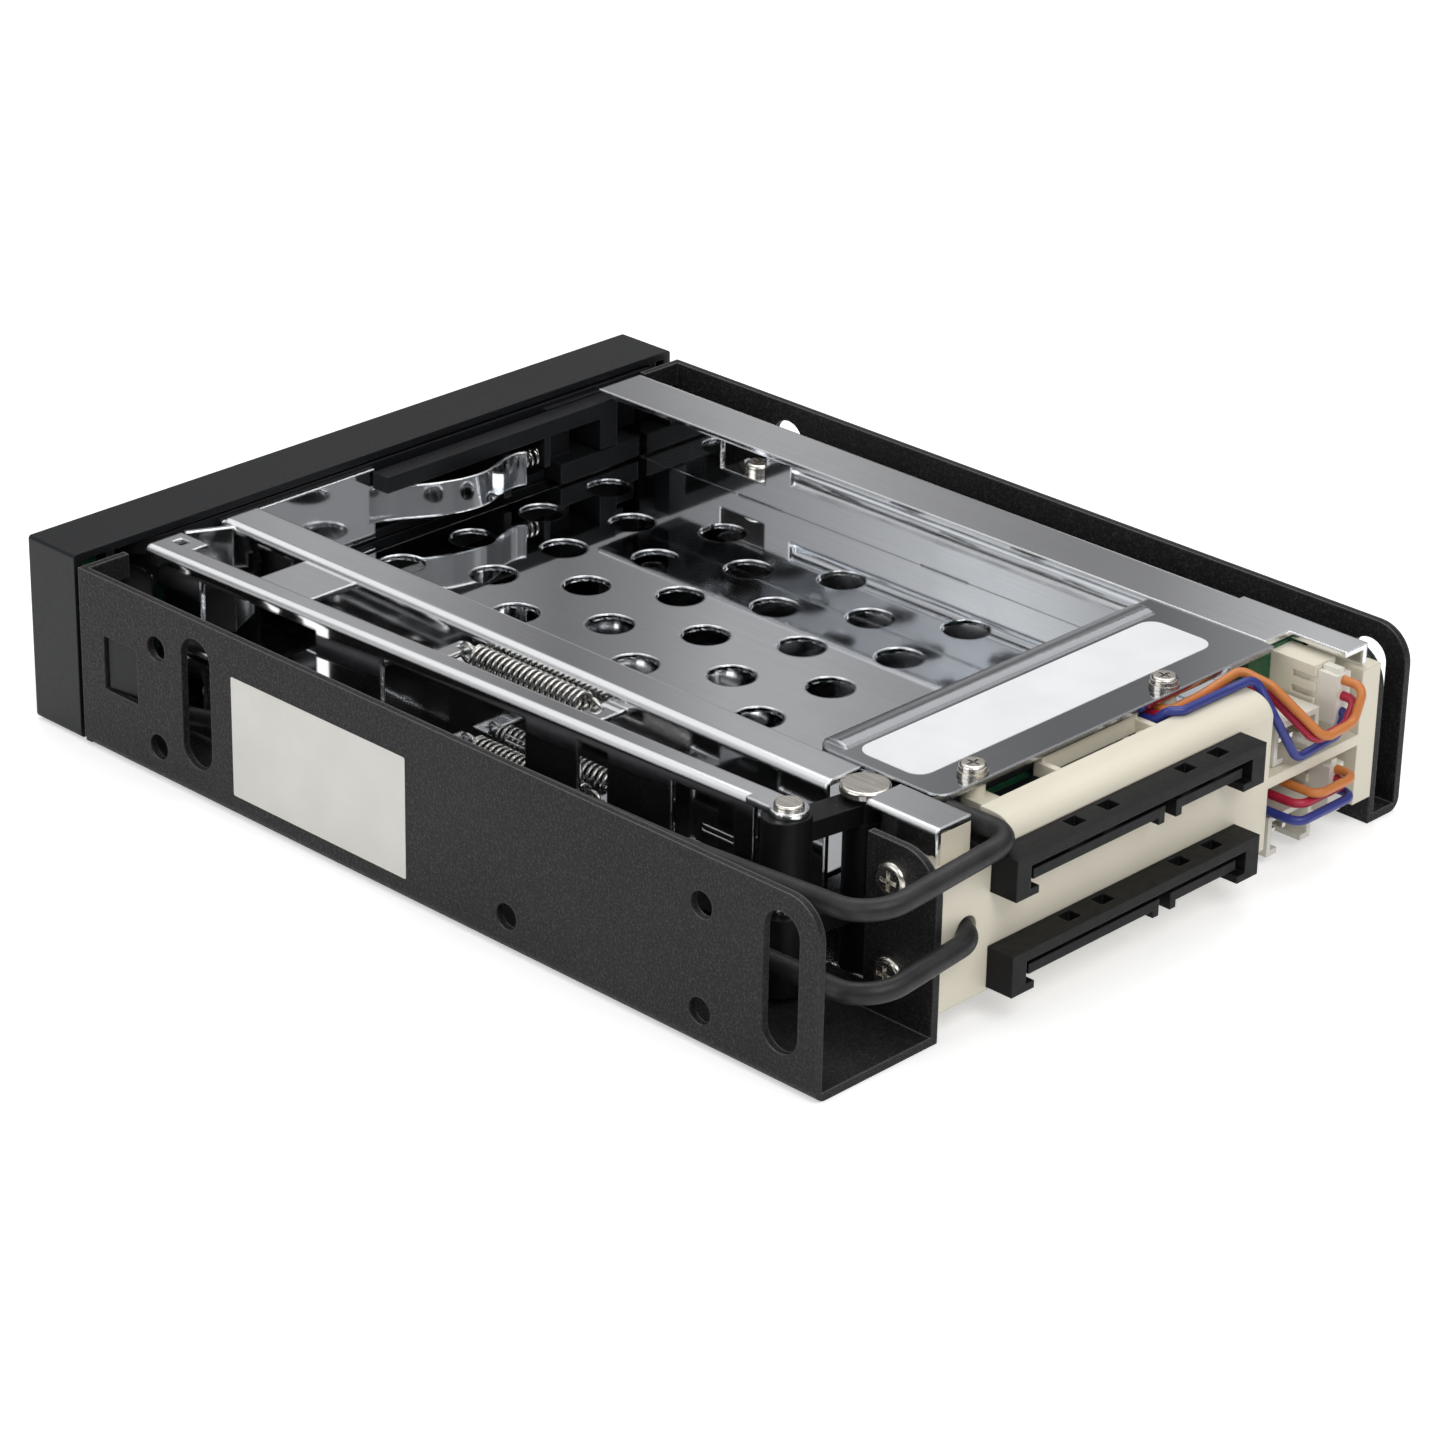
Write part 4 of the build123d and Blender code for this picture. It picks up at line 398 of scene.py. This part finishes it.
# Blank label on the near wall, of which 0.02 mm stands out
LABEL_DEPTHS = (37.8, 67.7)
LABEL_HEIGHTS = (3.0 * MM, 18.3 * MM)
LABEL_CORNER = 0.25 * MM
LABEL_SINK = 0.04 * MM
new_piece("side_label",
          film((WALL_X - LABEL_SINK, at(sum(LABEL_DEPTHS) / 2), sum(LABEL_HEIGHTS) / 2),
               (LABEL_DEPTHS[1] - LABEL_DEPTHS[0]) * MM, LABEL_HEIGHTS[1] - LABEL_HEIGHTS[0],
               LABEL_CORNER, (0, 1, 0), (0, 0, 1)),
          label_film("label_silver", (0.62, 0.61, 0.57), 0.25), "chassis")

# Blank sticker on the cross plate
STICKER_X = (-29.5 * MM, 21.6 * MM)
STICKER_DEPTHS = (109.0, 118.7)
STICKER_CORNER = 2.0 * MM
STICKER_SINK = 0.002 * MM
new_piece("plate_sticker",
          film((sum(STICKER_X) / 2, at(sum(STICKER_DEPTHS) / 2), CAGE_TOP - STICKER_SINK),
               STICKER_X[1] - STICKER_X[0], (STICKER_DEPTHS[1] - STICKER_DEPTHS[0]) * MM,
               STICKER_CORNER, (1, 0, 0), (0, 1, 0)),
          label_film("sticker_white", (0.83, 0.845, 0.86), 0.0), "chassis")


# Springs of round wire
def tube(points, radius, sides=8):
    """Builder of a round wire along a list of points, closed at both ends."""
    def build(shape):
        rings = []
        side = None
        for index, point in enumerate(points):
            ahead = points[min(index + 1, len(points) - 1)]
            behind = points[max(index - 1, 0)]
            run = (ahead - behind).normalized()
            if side is None:
                side = run.orthogonal().normalized()
            side = (side - run * side.dot(run)).normalized()
            other = run.cross(side)
            ring = [shape.verts.new(point + (side * cos(turn) + other * sin(turn)) * radius)
                    for turn in (2 * pi * k / sides for k in range(sides))]
            rings.append(ring)
        for first, second in zip(rings, rings[1:]):
            for k in range(sides):
                n = (k + 1) % sides
                shape.faces.new((first[k], first[n], second[n], second[k])).smooth = True
        shape.faces.new(rings[0][::-1])
        shape.faces.new(rings[-1])
    return build


def helix(start, along, across, up, length, turns, radius, steps=22, lead_share=0.35):
    """Points of a coil whose ends lead in to its middle line; the vectors have length 1."""
    count = int(turns * steps)
    lead = steps * lead_share
    return [start + along * (length * k / count)
            + (across * cos(2 * pi * k / steps) + up * sin(2 * pi * k / steps))
            * radius * min(1, k / lead, (count - k) / lead)
            for k in range(count + 1)]


def eye(centre, radius, start_turn, end_turn, first, second, steps=20):
    """Points of a hook bent in the plane of two unit vectors."""
    turns = (start_turn + (end_turn - start_turn) * k / steps for k in range(steps + 1))
    return [centre + (first * cos(turn) + second * sin(turn)) * radius for turn in turns]


ALONG_X, ALONG_Y, ALONG_Z = Vector((1, 0, 0)), Vector((0, 1, 0)), Vector((0, 0, 1))
EYE_RADIUS = 1.1 * MM
EYE_OPENING, EYE_ROOT = 1.6 * pi, 0.05 * pi

# Return springs: wire radius, depths of the coil's two ends and its turns
SPRING_WIRE = 0.25 * MM
SPRING_ENDS = (59.0, 77.6)
SPRING_TURNS = 21
for bay in BAYS:
    low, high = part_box(f"return_spring_{bay}")
    axis_x = (low[0] + high[0]) / 2
    axis_z = (low[2] + high[2]) / 2
    coil_radius = (high[2] - low[2]) / 2 - SPRING_WIRE
    front = Vector((axis_x, at(SPRING_ENDS[0]), axis_z))
    rear = Vector((axis_x, at(SPRING_ENDS[1]), axis_z))
    coil = helix(front, ALONG_Y, ALONG_X, ALONG_Z, (rear - front).length, SPRING_TURNS,
                 coil_radius)
    hook = eye(front - ALONG_Y * EYE_RADIUS, EYE_RADIUS, EYE_OPENING, EYE_ROOT, ALONG_Y, ALONG_Z)
    tail = eye(rear + ALONG_Y * EYE_RADIUS, EYE_RADIUS, EYE_ROOT, EYE_OPENING, -ALONG_Y, -ALONG_Z)
    spring = new_piece(f"return_coil_{bay}", tube(hook + coil + tail, SPRING_WIRE),
                       FINISHES["spring_steel"], "chassis")
    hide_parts(f"return_spring_{bay}")
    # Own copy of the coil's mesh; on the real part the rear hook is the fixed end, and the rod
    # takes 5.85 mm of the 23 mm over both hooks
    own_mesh(spring)

# Latch springs
LATCH_WIRE = 0.2 * MM
LATCH_TURNS = 6
for bay in BAYS:
    low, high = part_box(f"latch_spring_{bay}")
    middle = Vector((low[0] + LATCH_WIRE, (low[1] + high[1]) / 2, (low[2] + high[2]) / 2))
    coil_radius = (high[2] - low[2]) / 2 - LATCH_WIRE
    coil = helix(middle, ALONG_X, ALONG_Y, ALONG_Z, high[0] - low[0] - 2 * LATCH_WIRE,
                 LATCH_TURNS, coil_radius)
    spring = new_piece(f"latch_coil_{bay}", tube(coil, LATCH_WIRE), FINISHES["spring_steel"],
                       f"{bay}_door")
    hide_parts(f"latch_spring_{bay}")
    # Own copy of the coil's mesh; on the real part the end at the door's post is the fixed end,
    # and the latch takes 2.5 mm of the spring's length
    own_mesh(spring)


# Camera, fitted to the photograph
CAMERA_PLACE = Vector((0.364337, 0.348887, 0.244894))
CAMERA_AZIMUTH = radians(43.734)
CAMERA_ELEVATION = radians(25.310)
CAMERA_ROLL = radians(1.142)
CAMERA_LENS = 116.14


def add_camera():
    """Camera that looks along its azimuth and elevation, then rolled."""
    forward = Vector((-cos(CAMERA_ELEVATION) * cos(CAMERA_AZIMUTH),
                      -cos(CAMERA_ELEVATION) * sin(CAMERA_AZIMUTH), -sin(CAMERA_ELEVATION)))
    level = forward.cross(ALONG_Z).normalized()
    upright = level.cross(forward)
    right = cos(CAMERA_ROLL) * level + sin(CAMERA_ROLL) * upright
    above = -sin(CAMERA_ROLL) * level + cos(CAMERA_ROLL) * upright
    turned = Matrix((right, above, -forward)).transposed().to_4x4()
    data = bpy.data.cameras.new("camera")
    data.sensor_width = 36.0
    data.lens = CAMERA_LENS
    data.clip_start = 0.01
    camera = bpy.data.objects.new("camera", data)
    bpy.context.scene.collection.objects.link(camera)
    camera.matrix_world = Matrix.Translation(CAMERA_PLACE) @ turned
    bpy.context.scene.camera = camera


add_camera()

# Floor; its extra glow sets in between two distances and keeps it white in low views
FLOOR_HALF = 6.0
FLOOR_DROP = 0.05 * MM
FLOOR_GLOW = 0.42
FAR_GLOW = 0.3
FAR_RADII = (0.9, 1.7)


def floor_material():
    """Pale floor: white to the camera and in mirrors, and it keeps the object's shadow."""
    m = Material("floor_pale")
    m.set(Base_Color=(0.86, 0.86, 0.86, 1), Roughness=0.9, Specular_IOR_Level=0.1,
          Emission_Color=(1, 1, 1, 1))
    camera_ray, seen = m.camera_paths()
    near_glow = m.combine("MULTIPLY", seen, FLOOR_GLOW)
    away = m.node("ShaderNodeVectorMath", operation="LENGTH")
    m.link(m.place(), away.inputs[0])
    far = m.ramp(away.outputs["Value"], 0.0, FAR_GLOW, *FAR_RADII)
    far_glow = m.combine("MULTIPLY", far, camera_ray)
    m.link(m.combine("ADD", near_glow, far_glow), m.shader.inputs["Emission Strength"])
    return m.material


def floor_square(shape):
    """Build one square about the origin."""
    bmesh.ops.create_grid(shape, x_segments=1, y_segments=1, size=FLOOR_HALF)


floor = build_object("floor", floor_square, floor_material())
floor.location = (0, 0, -FLOOR_DROP)

# What bright metal mirrors: greys round the horizon by compass direction, white overhead
CARD_GREYS = (
    (5, 0.09), (30, 0.10), (60, 0.22), (118, 0.18), (128, 0.36), (146, 0.26), (152, 0.07),
    (204, 0.10), (210, 0.32), (214, 0.62), (217, 0.24), (220, 0.40), (223, 0.62), (226, 0.20),
    (230, 0.52), (236, 0.22), (244, 0.08), (306, 0.08), (314, 0.26), (317, 0.60),
    (319.5, 1.0), (322, 0.45), (324, 1.0), (332, 0.70), (344, 0.20), (354, 0.09))
CARD_RADIUS = 2.2
CARD_HEIGHTS = (0.0, 1.5)
CARD_PANELS = 72


def card_material():
    """Greys by direction, softly mottled, seen only in reflections."""
    m = Material("studio_card")
    compass = m.node("ShaderNodeTexGradient", gradient_type="RADIAL")
    m.link(m.place(), compass.inputs["Vector"])
    greys = m.node("ShaderNodeValToRGB")
    stops = sorted((((angle + 180) % 360) / 360, grey) for angle, grey in CARD_GREYS)
    marks = greys.color_ramp.elements
    for mark, (place, grey) in ((marks[0], stops[0]), (marks[1], stops[-1])):
        mark.position = place
        mark.color = (grey, grey, grey, 1)
    for place, grey in stops[1:-1]:
        marks.new(place).color = (grey, grey, grey, 1)
    m.link(compass.outputs["Fac"], greys.inputs["Fac"])
    cloth = m.noise(2.5, detail=2)
    mottled = m.blend(m.ramp(cloth, 0, 0.4), greys.outputs["Color"], (0.10, 0.10, 0.11))
    m.link(mottled, m.shader.inputs["Emission Color"])
    m.set(Base_Color=(0, 0, 0, 1), Roughness=1.0, Specular_IOR_Level=0.0, Emission_Strength=1.0)
    return m.material


def card_wall(shape):
    """Build an upright ring of panels, open above and below."""
    turns = (2 * pi * k / CARD_PANELS for k in range(CARD_PANELS))
    columns = [[shape.verts.new((CARD_RADIUS * cos(turn), CARD_RADIUS * sin(turn), z))
                for z in CARD_HEIGHTS] for turn in turns]
    for first, second in zip(columns, columns[1:] + columns[:1]):
        shape.faces.new((first[0], second[0], second[1], first[1]))


card_ring = build_object("studio_cards", card_wall, card_material())
card_ring.visible_camera = False
card_ring.visible_diffuse = False
card_ring.visible_shadow = False
card_ring.visible_transmission = False

# World: even light on the part, and plain white to the camera and in mirrors
WORLD_LIGHT = 0.48
WORLD_SEEN = 1.0
world = bpy.data.worlds.new("studio")
bpy.context.scene.world = world
world.use_nodes = True
sky = Nodes(world.node_tree)
background = sky.tree.nodes["Background"]
background.inputs["Color"].default_value = (1, 1, 1, 1)
strength = sky.ramp(sky.camera_paths()[1], WORLD_LIGHT, WORLD_SEEN, 0.0, 1.0)
sky.link(strength, background.inputs["Strength"])

# Lamps: all aim at the middle of the part
LAMP_TARGET = Vector((0, 0, 0.01))


def lamp(name, place, size, power):
    """Soft rectangular lamp; its place and size are in metres, its power in watts."""
    data = bpy.data.lights.new(name, "AREA")
    data.shape = "RECTANGLE"
    data.size, data.size_y = size
    data.energy = power
    made = bpy.data.objects.new(name, data)
    made.location = place
    aim = LAMP_TARGET - Vector(place)
    made.rotation_euler = aim.to_track_quat("-Z", "Y").to_euler()
    bpy.context.scene.collection.objects.link(made)


lamp("key_lamp", (0.25, 0.75, 0.85), (0.6, 0.6), 4.8)
lamp("fill_lamp", (0.95, -0.15, 0.45), (0.7, 0.5), 2.8)
lamp("top_lamp", (-0.35, -0.25, 1.0), (0.8, 0.5), 3.5)

bpy.context.scene.view_settings.view_transform = "Standard"
